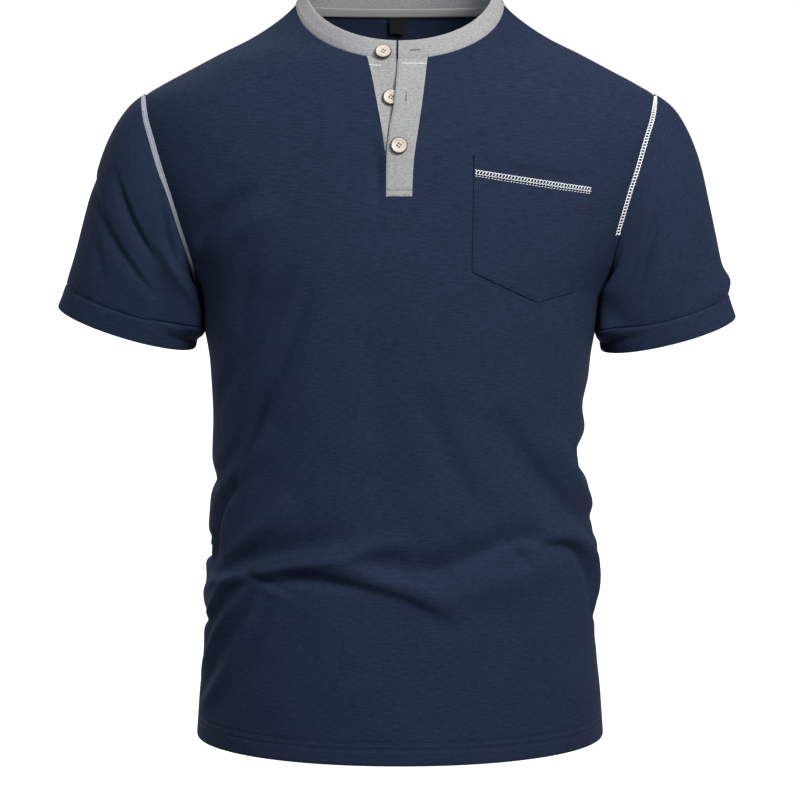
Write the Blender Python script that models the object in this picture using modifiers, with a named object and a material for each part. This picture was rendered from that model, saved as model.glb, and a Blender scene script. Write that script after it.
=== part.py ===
"""Short-sleeved henley shirt, filled out as when it is worn, with no wearer inside.

Metres. +Z is up, the chest faces -Y, and +X is the wearer's left. The origin is in the middle of the neck,
just above the points where the shoulder seams meet the collar band.

The torso is one form: a rounded oval at each height, whose half width and depths come from short tables.
Every panel is a patch of that form, bent by the same list of folds, so that panels meet at their seams.
Each piece of cloth is a closed wall between an inner and an outer surface. Those surfaces are lofts between
unlike sections, so wall() writes their faces with a loop.
"""

import math
from collections import namedtuple

import bmesh
import bpy
import numpy as np
from mathutils import Matrix, Vector

# ---- Cloth ----
CLOTH = 0.0012  # wall of one layer of knitted cloth
DOUBLE = 0.0018  # wall of the collar band and plackets, which are folded double
SEAM_GAP = 0.0003  # space between two pieces where they are sewn together
LAID_GAP = 0.0005  # space under a piece that lies on a panel
TAPE_GAP = 0.0011  # space between the back and the tape inside it
HEM_TURN = 0.0008  # extra cloth where a hem is turned in

# ---- Heights on the body ----
HEM = -0.700
UNDERARM = -0.272
SHOULDER_TIP = -0.0915
BODY_HEM_DEPTH = 0.022
CUFF_DEPTH = 0.023

# ---- Neck ----
NECK_HALF_WIDTH = 0.0965
NECK_POINT = -0.0075  # height where the shoulder seams meet the band
NECK_FRONT_DROP = 0.0506
NECK_BACK_DROP = 0.0015
BAND_HEIGHT = 0.0175
BAND_LEAN = 0.10  # share by which the band's top edge is smaller than its seam
BAND_END_RIGHT = -0.0036  # across position of the wearer's right end, which carries the top button
BAND_END_LEFT = -0.0016

# ---- The form: half width and depths of its oval at each height ----
Width = namedtuple("Width", "height half")
WIDTHS = [
    Width(HEM, 0.1945),
    Width(-0.655, 0.1912),
    Width(-0.600, 0.1865),
    Width(-0.545, 0.1860),
    Width(-0.490, 0.1805),
    Width(-0.440, 0.1772),
    Width(-0.390, 0.1755),
    Width(-0.340, 0.1785),
    Width(-0.300, 0.1845),
    Width(UNDERARM, 0.1885),
    Width(-0.260, 0.1935),
    Width(-0.240, 0.2045),
    Width(-0.210, 0.2205),
    Width(-0.180, 0.2350),
    Width(-0.150, 0.2455),
    Width(-0.128, 0.2490),
    Width(-0.112, 0.2480),
    Width(-0.100, 0.2430),
    Width(SHOULDER_TIP, 0.2370),
    Width(-0.0823, 0.2225),
    Width(-0.0679, 0.1954),
    Width(-0.0530, 0.1671),
    Width(-0.0385, 0.1379),
    Width(-0.0246, 0.1161),
    Width(-0.0144, 0.1033),
    Width(NECK_POINT, NECK_HALF_WIDTH),
]
Depth = namedtuple("Depth", "height front back square")
DEPTHS = [
    Depth(HEM, 0.131, 0.119, 2.25),
    Depth(-0.620, 0.1285, 0.113, 2.3),
    Depth(-0.560, 0.126, 0.108, 2.35),
    Depth(-0.500, 0.1235, 0.103, 2.35),
    Depth(-0.450, 0.1225, 0.101, 2.35),
    Depth(-0.400, 0.1235, 0.103, 2.35),
    Depth(-0.340, 0.125, 0.110, 2.35),
    Depth(UNDERARM, 0.125, 0.116, 2.3),
    Depth(-0.200, 0.120, 0.119, 2.25),
    Depth(-0.160, 0.114, 0.118, 2.2),
    Depth(-0.120, 0.1055, 0.1145, 2.15),
    Depth(SHOULDER_TIP, 0.0955, 0.108, 2.1),
    Depth(-0.0720, 0.0865, 0.1015, 2.1),
    Depth(-0.0581, 0.0775, 0.0960, 2.1),
    Depth(-0.0508, 0.0690, 0.0928, 2.1),
    Depth(-0.0434, 0.0575, 0.0895, 2.1),
    Depth(-0.0313, 0.0415, 0.0835, 2.1),
    Depth(-0.0190, 0.0295, 0.0765, 2.1),
    Depth(-0.0110, 0.0220, 0.0715, 2.1),
    Depth(NECK_POINT, 0.0180, 0.0690, 2.1),
]

# ---- Armholes: half distance between their seams at each height ----
Armhole = namedtuple("Armhole", "height across")
ARMHOLE = [
    Armhole(UNDERARM, 0.1885),
    Armhole(-0.2458, 0.1928),
    Armhole(-0.2256, 0.1982),
    Armhole(-0.1987, 0.2064),
    Armhole(-0.1739, 0.2141),
    Armhole(-0.1547, 0.2206),
    Armhole(-0.1304, 0.2280),
    Armhole(-0.1078, 0.2342),
    Armhole(SHOULDER_TIP, 0.2370),
]

# ---- Front opening: the two sewn edges and the free edge of each placket ----
Opening = namedtuple("Opening", "height sewn_right sewn_left top_edge under_edge")
OPENING = [
    Opening(-0.180, -0.0129, 0.0108, -0.0126, 0.0070),
    Opening(-0.150, -0.0129, 0.0122, -0.0124, 0.0070),
    Opening(-0.121, -0.0162, 0.0162, -0.0098, 0.0070),
    Opening(-0.096, -0.0198, 0.0200, -0.0052, 0.0050),
    Opening(-0.066, -0.0253, 0.0235, -0.0026, -0.0032),
    Opening(-0.050, -0.0304, 0.0251, -0.0018, -0.0036),
]
OPENING_BOTTOM = OPENING[0].height
TOP_OF_OPENING = -0.057
UNDER_DROP = 0.0030  # how far the under placket lies behind the top one
GAPE = 0.0036  # how far the top placket's free edge stands off over the middle button
PLACKET_END = 0.007  # folded end strip of the top placket
BAR_STEP = 0.0006

# ---- Pocket: across and height of its corners, worn on the left of the chest ----
POCKET_TOP_IN = (0.0665, -0.1430)
POCKET_TOP_OUT = (0.1745, -0.1578)
POCKET_SIDE_OUT = (0.1610, -0.2675)
POCKET_SIDE_IN = (0.0648, -0.2472)
POCKET_POINT = (0.1235, -0.2757)
POCKET_HEM = 0.019

# ---- Label and neck tape, inside the back neck ----
TAPE_WIDTH = 0.0085
LABEL_WIDTH = 0.016
LABEL_DROP = 0.0235  # from the neck seam to its lower edge

# ---- Buttons ----
BUTTON_RADIUS = 0.0076
BUTTON_THICK = 0.0026
BUTTON_RIM = 0.0011
BUTTON_STAND = 0.0007  # thread between a button and its cloth
BUTTON_HOLE_RADIUS = 0.0009
BUTTON_HOLE_SPREAD = 0.0017
Button = namedtuple("Button", "name across height")
BUTTONS = [
    Button("button_middle", -0.0080, -0.0905),
    Button("button_bottom", -0.0009, -0.1350),
]
TOP_BUTTON_ACROSS = -0.0154
TOP_BUTTON_UP = 0.44  # share of the band's height

# ---- Sleeves ----
Cuff = namedtuple("Cuff", "name side centre outer front")
CUFFS = [
    Cuff("sleeve_right", -1, (-0.2588, 0.004, -0.3063), (-0.0643, 0.0, 0.0158), (0.0, -0.0520, -0.0060)),
    Cuff("sleeve_left", 1, (0.2543, 0.004, -0.3100), (0.0632, 0.0, 0.0135), (0.0, -0.0520, -0.0060)),
]
SLEEVE_LENGTH = 0.20  # for placing folds along a sleeve
SLEEVE_ROUND = 0.40  # for placing folds round a sleeve

# ---- Folds ----
# Each runs through three points. On the body they are metres round from the front centre (0.25 at the side
# seams, 0.5 at the back centre, negative on the wearer's right) and height. On a sleeve they are metres round
# from its top line towards the front, and metres down from the armhole. rise is out of the cloth, and lean
# makes the side on the left of the path the wider one.
Fold = namedtuple("Fold", "a0 z0 a1 z1 a2 z2 width rise lean")
BODY_FOLDS = [
    # the roll across the waist, its shaded upper side and the hollow under it
    Fold(-0.275, -0.560, -0.115, -0.519, 0.035, -0.493, 0.0100, 0.0055, 0.0),
    Fold(-0.268, -0.541, -0.130, -0.494, -0.025, -0.472, 0.0085, -0.0045, 0.4),
    Fold(-0.120, -0.546, -0.025, -0.530, 0.066, -0.592, 0.0080, -0.0055, -0.3),
    Fold(-0.030, -0.503, 0.035, -0.518, 0.095, -0.568, 0.0120, 0.0045, 0.0),
    Fold(-0.025, -0.505, 0.045, -0.512, 0.125, -0.488, 0.0100, -0.0038, 0.2),
    Fold(0.000, -0.530, 0.080, -0.530, 0.160, -0.505, 0.0150, 0.0035, 0.0),
    # the left end of the roll, at the side
    Fold(0.140, -0.495, 0.215, -0.520, 0.262, -0.568, 0.0090, -0.0045, -0.3),
    Fold(0.150, -0.520, 0.225, -0.541, 0.300, -0.560, 0.0110, 0.0055, 0.0),
    # under the right end of the roll, down to the hip
    Fold(-0.138, -0.536, -0.180, -0.595, -0.228, -0.668, 0.0070, -0.0042, 0.2),
    # drag lines from the right waist up to the chest
    Fold(-0.078, -0.255, -0.136, -0.366, -0.212, -0.450, 0.0085, -0.0048, 0.3),
    Fold(-0.125, -0.390, -0.162, -0.430, -0.210, -0.465, 0.0090, 0.0038, 0.0),
    Fold(-0.092, -0.240, -0.151, -0.314, -0.215, -0.385, 0.0090, -0.0040, 0.3),
    Fold(-0.175, -0.448, -0.220, -0.484, -0.268, -0.522, 0.0080, -0.0055, 0.0),
    Fold(-0.110, -0.458, -0.152, -0.494, -0.215, -0.532, 0.0095, 0.0048, 0.0),
    # drag line from the pocket to the left waist
    Fold(0.080, -0.315, 0.150, -0.412, 0.245, -0.522, 0.0140, -0.0034, -0.4),
    Fold(0.110, -0.300, 0.185, -0.400, 0.262, -0.480, 0.0160, 0.0035, 0.0),
    # slack down the middle
    Fold(-0.022, -0.250, -0.020, -0.380, -0.003, -0.492, 0.0220, -0.0024, 0.0),
    Fold(0.018, -0.345, 0.047, -0.418, 0.082, -0.478, 0.0130, -0.0024, 0.0),
    # short folds that notch the side outline
    Fold(-0.330, -0.448, -0.265, -0.446, -0.205, -0.452, 0.0100, -0.0030, 0.0),
    Fold(-0.340, -0.522, -0.268, -0.520, -0.212, -0.514, 0.0080, -0.0050, 0.0),
    Fold(-0.330, -0.590, -0.262, -0.580, -0.205, -0.578, 0.0090, -0.0048, 0.0),
    Fold(0.200, -0.418, 0.262, -0.424, 0.330, -0.415, 0.0100, -0.0080, 0.0),
    Fold(0.215, -0.575, 0.262, -0.579, 0.330, -0.582, 0.0100, -0.0060, 0.0),
    # by the armholes
    Fold(-0.245, -0.262, -0.215, -0.225, -0.165, -0.200, 0.0090, -0.0040, 0.3),
    Fold(0.240, -0.300, 0.215, -0.255, 0.190, -0.215, 0.0110, 0.0030, 0.0),
    # back: slack over the waist, and drag lines from the shoulder blades
    Fold(0.310, -0.485, 0.480, -0.525, 0.690, -0.480, 0.0160, 0.0080, 0.2),
    Fold(0.330, -0.540, 0.520, -0.570, 0.700, -0.528, 0.0150, 0.0070, 0.2),
    Fold(0.300, -0.510, 0.500, -0.548, 0.705, -0.505, 0.0100, -0.0065, 0.3),
    Fold(0.320, -0.435, 0.420, -0.470, 0.540, -0.477, 0.0130, 0.0055, 0.2),
    Fold(0.700, -0.420, 0.600, -0.458, 0.500, -0.470, 0.0130, 0.0050, -0.2),
    Fold(0.275, -0.330, 0.330, -0.390, 0.400, -0.470, 0.0110, -0.0045, 0.3),
    Fold(0.725, -0.320, 0.670, -0.385, 0.610, -0.465, 0.0110, -0.0045, -0.3),
    Fold(0.290, -0.240, 0.350, -0.300, 0.380, -0.380, 0.0150, 0.0040, 0.0),
    Fold(0.710, -0.240, 0.650, -0.300, 0.625, -0.370, 0.0150, 0.0040, 0.0),
    Fold(0.450, -0.240, 0.500, -0.330, 0.505, -0.430, 0.0200, -0.0026, 0.0),
]
SLEEVE_FOLDS = {
    "sleeve_right": [
        Fold(0.020, 0.070, 0.045, 0.115, 0.120, 0.170, 0.0080, -0.0040, 0.3),
        Fold(0.050, 0.070, 0.085, 0.105, 0.155, 0.150, 0.0085, -0.0050, 0.3),
        Fold(0.080, 0.030, 0.125, 0.070, 0.180, 0.120, 0.0090, -0.0050, 0.3),
        Fold(-0.030, 0.080, -0.060, 0.120, -0.120, 0.160, 0.0100, -0.0045, -0.3),
        Fold(-0.070, 0.050, -0.110, 0.085, -0.160, 0.125, 0.0100, -0.0045, -0.3),
    ],
    "sleeve_left": [
        Fold(0.075, 0.090, 0.110, 0.135, 0.150, 0.175, 0.0090, -0.0050, 0.3),
        Fold(0.105, 0.040, 0.145, 0.080, 0.180, 0.120, 0.0095, -0.0050, 0.3),
        Fold(-0.025, 0.155, 0.000, 0.160, 0.025, 0.158, 0.0080, 0.0040, 0.0),
        Fold(-0.035, 0.080, -0.070, 0.120, -0.130, 0.160, 0.0100, -0.0045, -0.3),
        Fold(-0.080, 0.050, -0.115, 0.085, -0.165, 0.120, 0.0100, -0.0045, -0.3),
    ],
}

# ---- Counts of faces ----
SHOULDER_COLUMNS = 9  # along each shoulder seam
NECK_COLUMNS = 8  # along each half of a neckline
BODY_ROWS = 23  # from the hem to the underarm
ARMHOLE_STEPS = 10  # from the underarm to the shoulder tip
PATH_STEPS = 12  # straight pieces that stand for a fold's curve
NARROWEST_FOLD = 0.0125  # half width of a fold that this spacing of points can carry

NAVY = (0.020, 0.032, 0.070, 1.0)
GREY = (0.36, 0.36, 0.38, 1.0)
BLACK = (0.006, 0.006, 0.007, 1.0)
CREAM = (0.72, 0.63, 0.50, 1.0)


def smooth_through(xs, ys, x):
    """A curve through the points (xs, ys) that never overshoots them, read at x."""
    xs, ys = np.asarray(xs, float), np.asarray(ys, float)
    gap, rise = np.diff(xs), np.diff(ys)
    slope = rise / gap
    tangent = np.concatenate([[slope[0]], np.zeros(len(xs) - 2), [slope[-1]]])
    same_way = slope[:-1] * slope[1:] > 0
    left_weight = 2 * gap[1:] + gap[:-1]
    right_weight = gap[1:] + 2 * gap[:-1]
    safe = [np.where(same_way, part, 1.0) for part in (slope[:-1], slope[1:])]
    mean = (left_weight + right_weight) / (left_weight / safe[0] + right_weight / safe[1])
    tangent[1:-1] = np.where(same_way, mean, 0.0)
    x = np.clip(x, xs[0], xs[-1])
    i = np.clip(np.searchsorted(xs, x) - 1, 0, len(gap) - 1)
    s = (x - xs[i]) / gap[i]
    return (
        ys[i] * (1 + 2 * s) * (1 - s) ** 2
        + ys[i + 1] * s * s * (3 - 2 * s)
        + gap[i] * (tangent[i] * s * (1 - s) ** 2 - tangent[i + 1] * s * s * (1 - s))
    )


def column(table, name, height):
    """One column of a table of named rows, read at a height."""
    return smooth_through([row.height for row in table], [getattr(row, name) for row in table], height)


def ease(x):
    """0 up to 0, 1 from 1, and smooth between."""
    x = np.clip(x, 0.0, 1.0)
    return x * x * (3 - 2 * x)


# ---- The form ----


def reference_quarter():
    """Angles of a typical quarter oval and the share of its length up to each."""
    angle = np.linspace(0, math.pi / 2, 400)
    power = 2 / 2.3
    x = 0.187 * np.sin(angle) ** power
    y = 0.119 * np.clip(np.cos(angle), 0, 1) ** power
    along = np.concatenate([[0], np.cumsum(np.hypot(np.diff(x), np.diff(y)))])
    return angle, along / along[-1]


QUARTER_ANGLES, QUARTER_SHARES = reference_quarter()
QUARTER = 0.25  # metres round the body that one quarter counts as, for folds


def depth_of(height, side):
    return column(DEPTHS, "front" if side < 0 else "back", height)


def form_point(turn, height, side):
    """A point on the form. turn is 0 at the centre and 1 or -1 at the sides, and side is -1 in front."""
    angle = np.interp(np.abs(turn), QUARTER_SHARES, QUARTER_ANGLES)
    power = 2 / column(DEPTHS, "square", height)
    x = np.sign(turn) * column(WIDTHS, "half", height) * np.sin(angle) ** power
    y = side * depth_of(height, side) * np.clip(np.cos(angle), 0, 1) ** power
    return np.stack([x, y, height + 0 * x], -1)


def turn_at(across, height):
    """The turn at which the form's oval at that height is that far across."""
    ratio = np.clip(np.abs(across) / column(WIDTHS, "half", height), 0, 1)
    angle = np.arcsin(ratio ** (column(DEPTHS, "square", height) / 2))
    return np.sign(across) * np.interp(angle, QUARTER_ANGLES, QUARTER_SHARES)


def outside(point, side):
    """Under 1 inside the form's oval and over 1 outside it."""
    x, y, z = point[..., 0], point[..., 1], point[..., 2]
    power = column(DEPTHS, "square", z)
    return (np.abs(x) / column(WIDTHS, "half", z)) ** power + (np.abs(y) / depth_of(z, side)) ** power


def form_normal(point, side):
    """Unit normals of the form, the same for front and back where those meet."""
    step = 0.0005
    parts = []
    for axis in np.eye(3):
        parts.append(outside(point + step * axis, side) - outside(point - step * axis, side))
    normal = np.stack(parts, -1)
    return normal / np.linalg.norm(normal, axis=-1, keepdims=True)


# ---- Folds ----


def fold_path(fold):
    """Points along the curve through a fold's three points."""
    start, middle, end = ((fold.a0, fold.z0), (fold.a1, fold.z1), (fold.a2, fold.z2))
    start, middle, end = (np.array(p) for p in (start, middle, end))
    s = np.linspace(0, 1, PATH_STEPS + 1)[:, None]
    return start * (1 - s) * (1 - 2 * s) + middle * 4 * s * (1 - s) + end * s * (2 * s - 1)


def fold_rise(fold, around, height):
    """How far one fold lifts the cloth at each place."""
    path = fold_path(fold)
    place = np.stack([around, height], -1)
    nearest = np.full(around.shape, np.inf)
    offset = np.zeros(around.shape)
    along = np.zeros(around.shape)
    for k in range(PATH_STEPS):
        step = path[k + 1] - path[k]
        away = place - path[k]
        s = np.clip(away @ step / (step @ step), 0, 1)
        gap = away - s[..., None] * step
        distance = np.linalg.norm(gap, axis=-1)
        closer = distance < nearest
        side = np.sign(step[0] * away[..., 1] - step[1] * away[..., 0])
        nearest = np.where(closer, distance, nearest)
        offset = np.where(closer, distance * side, offset)
        along = np.where(closer, (k + s) / PATH_STEPS, along)
    width = max(fold.width, NARROWEST_FOLD) * (1 + fold.lean * np.tanh(offset / fold.width))
    return fold.rise * np.sin(math.pi * along) ** 0.7 * np.exp(-((offset / width) ** 2))


def body_lift(turn, height, side):
    """How far the folds lift the body's cloth."""
    around = QUARTER * (turn if side < 0 else np.where(turn < 0, -2 - turn, 2 - turn))
    full = 4 * QUARTER
    lift = np.zeros(np.broadcast(turn, height).shape)
    height = height + lift
    around = around + lift
    for fold in BODY_FOLDS:
        for shift in (0.0, -full, full):
            lift = lift + fold_rise(fold, around + shift, height)
    flat_by_seams = ease((height - HEM) / 0.05)
    flat_by_neck = 1 - ease((height + 0.15) / 0.07)
    return lift * flat_by_seams * flat_by_neck


def cloth_point(turn, height, side, level=0.0):
    """A point on the body's cloth, lifted by its folds and by level."""
    base = form_point(turn, height, side)
    lift = body_lift(turn, height, side) + level
    return base + form_normal(base, side) * lift[..., None]


# ---- Grids of the panels ----


def armhole_across(height):
    """Half distance between the armhole seams at a height."""
    return column(ARMHOLE, "across", height)


def edge_turn(height):
    """The turn of a panel's side edge: the side seam, and above it the armhole."""
    at_armhole = turn_at(armhole_across(height), height)
    inside = (height > UNDERARM + 1e-6) & (height < SHOULDER_TIP - 1e-6)
    return np.where(inside, at_armhole, 1.0)


def neckline_height(across, drop):
    return NECK_POINT - drop * np.sqrt(np.clip(1 - (across / NECK_HALF_WIDTH) ** 2, 0, 1))


def top_edge(drop):
    """Across and height of a panel's top edge: neckline near the centre, then the shoulder seam."""
    on_neck = NECK_HALF_WIDTH * np.sin(np.arange(NECK_COLUMNS + 1) / NECK_COLUMNS * math.pi / 2)
    out = np.arange(1, SHOULDER_COLUMNS + 1) / SHOULDER_COLUMNS
    tip = column(WIDTHS, "half", SHOULDER_TIP)
    on_shoulder = NECK_HALF_WIDTH + out * (tip - NECK_HALF_WIDTH)
    heights = np.linspace(SHOULDER_TIP, NECK_POINT, 200)
    ridge = np.interp(on_shoulder, column(WIDTHS, "half", heights)[::-1], heights[::-1])
    across = np.concatenate([on_neck, on_shoulder])
    height = np.concatenate([neckline_height(on_neck, drop), ridge])
    return np.concatenate([-across[:0:-1], across]), np.concatenate([height[:0:-1], height])


def row_heights(rows):
    """Heights of a panel's rows below the underarm: closer together where the waist folds are."""
    share = np.linspace(0, 1, 200)
    height = HEM + (UNDERARM - HEM) * share
    crowding = 1 + 1.3 * np.exp(-(((height + 0.54) / 0.06) ** 2))
    along = np.concatenate([[0], np.cumsum(crowding[1:] + crowding[:-1])])
    even = np.interp(np.linspace(0, 1, rows + 1), along / along[-1], height)
    nearest = np.argmin(np.abs(even - (HEM + BODY_HEM_DEPTH)))
    even[nearest] = HEM + BODY_HEM_DEPTH
    return even


def panel_domain(side):
    """Turn and height of each grid point of the front or back."""
    drop = NECK_FRONT_DROP if side < 0 else NECK_BACK_DROP
    columns = 2 * (NECK_COLUMNS + SHOULDER_COLUMNS)
    share = np.linspace(-1, 1, columns + 1)[None, :]
    low = row_heights(BODY_ROWS)[:, None] + 0 * share
    low_turn = share + 0 * low
    rise = (1 - np.cos(np.linspace(0, math.pi, ARMHOLE_STEPS + 1)[1:, None])) / 2
    top_across, top_height = top_edge(drop)
    high = UNDERARM + (top_height - UNDERARM) * rise
    side_height = UNDERARM + (SHOULDER_TIP - UNDERARM) * rise
    even_turn = share * edge_turn(side_height)
    spread = ease(rise) * top_across + (1 - ease(rise)) * share * armhole_across(side_height)
    spread_turn = turn_at(spread, high)
    mix = ease(rise * 1.25)
    high_turn = (1 - mix) * even_turn + mix * spread_turn
    high_turn[:, 0], high_turn[:, -1] = -edge_turn(side_height)[:, 0], edge_turn(side_height)[:, 0]
    turn = np.concatenate([low_turn, high_turn])
    height = np.concatenate([low, high])
    if side < 0:
        line_up_with_opening(turn, height, share[0])
    return turn, height


def line_up_with_opening(turn, height, share):
    """Moves the middle columns onto the front opening's edges, and one row onto its lower end."""
    middle = len(share) // 2
    row = int(np.argmin(np.abs(height[:, middle] - OPENING_BOTTOM)))
    shift = OPENING_BOTTOM - height[row, middle]
    reach = np.exp(-(((np.arange(len(height)) - row) / 2.0) ** 2))[:, None]
    near = np.exp(-((np.clip(np.abs(share) - 0.06, 0, 1) / 0.3) ** 2))[None, :]
    height += shift * reach * near
    for k in range(row, len(height)):
        for step, name in ((-1, "sewn_right"), (1, "sewn_left")):
            i = middle + step
            height[k, i] = height[k, middle]
            for _ in range(4):  # the top row's height depends on how far across it is
                across = column(OPENING, name, height[k, i])
                if k == len(height) - 1:
                    height[k, i] = neckline_height(across, NECK_FRONT_DROP)
            old = turn[k, i]
            turn[k, i] = turn_at(across, height[k, i])
            for j in range(2, middle // 2):
                fade = 1 - (j - 1) / (middle // 2 - 1)
                at = k, middle + step * j
                turn[at] += (turn[k, i] - old) * fade
                if k == len(height) - 1:
                    x = form_point(turn[at], height[at], -1)[0]
                    height[at] = neckline_height(x, NECK_FRONT_DROP)
                    turn[at] = turn_at(x, height[at])


# ---- Walls ----


def drawn_in(points, keep):
    """Moves the outline of a grid in by half a seam gap, along the grid's own lines."""
    rows, columns = points.shape[:2]
    moved = points.copy()
    faces = np.zeros((rows + 1, columns + 1), bool)
    faces[1:-1, 1:-1] = keep[:, : columns - 1]
    for i in range(rows):
        for j in range(columns):
            around = faces[i : i + 2, j : j + 2]
            if around.all() or not around.any():
                continue
            down, up = around[0].any(), around[1].any()
            left, right = around[:, 0].any(), around[:, 1].any()
            if down != up:
                move_towards(moved, points, (i, j), (i + 1 if up else i - 1, j))
            if left != right:
                move_towards(moved, points, (i, j), (i, j + 1 if right else j - 1))
    return moved


def move_towards(moved, points, here, there):
    way = points[there] - points[here]
    moved[here] += way / np.linalg.norm(way) * SEAM_GAP / 2


def wall(name, inner, outer, material, keep=None, closed=False):
    """A closed wall between two grids of points. keep says which of the grid's squares are cloth."""
    rows, columns = inner.shape[:2]
    steps = columns if closed else columns - 1
    if keep is None:
        keep = np.ones((rows - 1, steps), bool)
    size = rows * columns
    inward, outward, edges = [], [], {}
    for i in range(rows - 1):
        for j in range(steps):
            if not keep[i, j]:
                continue
            near, far = j, (j + 1) % columns
            here, above = i * columns, (i + 1) * columns
            square = (here + near, here + far, above + far, above + near)
            outward.append([k + size for k in square])
            inward.append(list(reversed(square)))
            for a, b in zip(square, square[1:] + square[:1]):
                edges[a, b] = True
    rims = [[b, a, a + size, b + size] for a, b in edges if (b, a) not in edges]
    rims = [list(reversed(rim)) for rim in rims]
    mesh = bpy.data.meshes.new(name)
    points = np.concatenate([inner.reshape(-1, 3), outer.reshape(-1, 3)])
    mesh.from_pydata(points.tolist(), [], inward + outward + rims)
    shape = bmesh.new()
    shape.from_mesh(mesh)
    loose = [v for v in shape.verts if not v.link_faces]
    bmesh.ops.delete(shape, geom=loose, context="VERTS")
    bmesh.ops.recalc_face_normals(shape, faces=shape.faces)
    shape.to_mesh(mesh)
    shape.free()
    return add_object(name, mesh, material)


def add_object(name, mesh, material):
    mesh.shade_smooth()
    mesh.set_sharp_from_angle(angle=math.radians(40))
    made = bpy.data.objects.new(name, mesh)
    made.data.materials.clear()
    made.data.materials.append(material)
    bpy.data.collections["henley_shirt"].objects.link(made)
    return made


def make_material(name, colour, roughness):
    material = bpy.data.materials.new(name)
    material.use_nodes = True
    shader = material.node_tree.nodes["Principled BSDF"]
    shader.inputs["Base Color"].default_value = colour
    shader.inputs["Roughness"].default_value = roughness
    shader.inputs["Metallic"].default_value = 0.0
    return material


# ---- Pieces ----


def make_panel(name, side, material):
    """The front or the back, with its hem turned in."""
    turn, height = panel_domain(side)
    columns = turn.shape[1] - 1
    keep = np.ones((len(turn) - 1, columns), bool)
    if side < 0:
        middle = columns // 2
        above = height[:-1, middle] > OPENING_BOTTOM - 1e-6
        keep[np.ix_(above, [middle - 1, middle])] = False
    surface = cloth_point(turn, height, side)
    normal = form_normal(form_point(turn, height, side), side)
    surface = drawn_in(surface, keep)
    turned = HEM_TURN * (height < HEM + BODY_HEM_DEPTH + 0.002)
    inner = surface - normal * turned[..., None]
    outer = surface + normal * CLOTH
    return wall(name, inner, outer, material, keep=keep)


def armhole_ring():
    """Turn, height and side of the points on an armhole, from its top round its front."""
    rise = (1 - np.cos(np.linspace(0, math.pi, ARMHOLE_STEPS + 1))) / 2
    up = UNDERARM + (SHOULDER_TIP - UNDERARM) * rise
    down = up[::-1]
    height = np.concatenate([down[:-1], up[:-1]])
    side = np.concatenate([-np.ones(ARMHOLE_STEPS), np.ones(ARMHOLE_STEPS)])
    return edge_turn(height), height, side


def sleeve_surface(cuff, steps):
    """The sleeve's middle surface, from the armhole ring to the cuff ring, as rows of rings."""
    turn, height, side = armhole_ring()
    turn = turn * cuff.side
    level = CLOTH + SEAM_GAP + CLOTH / 2 + 0.0002
    start = np.where(
        side[:, None] < 0,
        cloth_point(turn, height, -1, level),
        cloth_point(turn, height, 1, level),
    )
    angle = np.arange(len(turn)) * math.pi / ARMHOLE_STEPS
    up, front = (1 + np.cos(angle)) / 2, np.sin(angle)
    outer_way = np.array([0.88, 0.0, -0.47])
    down_way = np.array([0.10, 0.0, -0.99])
    leave = up[:, None] * outer_way + (1 - up[:, None]) * down_way
    leave[:, 1] -= 0.28 * front
    leave /= np.linalg.norm(leave, axis=1)[:, None]
    leave[:, 0] *= cuff.side
    centre, out, forward = (np.array(v) for v in (cuff.centre, cuff.outer, cuff.front))
    end = centre + np.cos(angle)[:, None] * out + np.sin(angle)[:, None] * forward
    arrive = np.cross(out, forward) * cuff.side
    arrive /= np.linalg.norm(arrive)
    length = np.linalg.norm(end - start, axis=1)[:, None]
    first = start + leave * length * (0.16 + 0.10 * (1 - up[:, None]))
    last = end - arrive * length * 0.30
    s = steps[:, None, None]
    return (
        start * (1 - s) ** 3 + first * 3 * s * (1 - s) ** 2 + last * 3 * s * s * (1 - s) + end * s**3
    )


def ring_normals(rings, side):
    """Normals of a tube of rings, pointing away from its inside."""
    around = np.roll(rings, -1, axis=1) - np.roll(rings, 1, axis=1)
    along = np.gradient(rings, axis=0)
    normal = np.cross(around, along) * side
    return normal / np.linalg.norm(normal, axis=-1, keepdims=True)


def make_sleeve(cuff, material):
    hem_line = 1 - CUFF_DEPTH / SLEEVE_LENGTH
    steps = np.concatenate([np.linspace(0, hem_line, 12), [hem_line + 0.02, 1.0]])
    rings = sleeve_surface(cuff, steps)
    normal = ring_normals(rings, cuff.side)
    count = rings.shape[1]
    place = np.arange(count) / count
    around = SLEEVE_ROUND * np.where(place > 0.5, place - 1, place)[None, :] + 0 * steps[:, None]
    down = SLEEVE_LENGTH * steps[:, None] + 0 * around
    lift = sum(fold_rise(fold, around, down) for fold in SLEEVE_FOLDS[cuff.name])
    lift = lift * ease(steps / 0.15)[:, None] * (1 - ease((steps - 0.82) / 0.1))[:, None]
    rings = rings + normal * lift[..., None]
    turned = HEM_TURN * (steps > hem_line + 0.01)[:, None, None]
    inner = rings - normal * (CLOTH / 2 + turned)
    outer = rings + normal * CLOTH / 2
    return wall(cuff.name, inner, outer, material, closed=True)


def neck_seam(angle):
    """Point and form normal of the neck seam. angle is 0 at the front and grows towards the wearer's left."""
    x = NECK_HALF_WIDTH * np.sin(angle)
    in_front = np.cos(angle) > 0
    height = neckline_height(x, np.where(in_front, NECK_FRONT_DROP, NECK_BACK_DROP))
    turn = turn_at(x, height)
    seam = np.where(in_front[..., None], form_point(turn, height, -1), form_point(turn, height, 1))
    normal = np.where(in_front[..., None], form_normal(seam, -1), form_normal(seam, 1))
    return seam, normal


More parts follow.
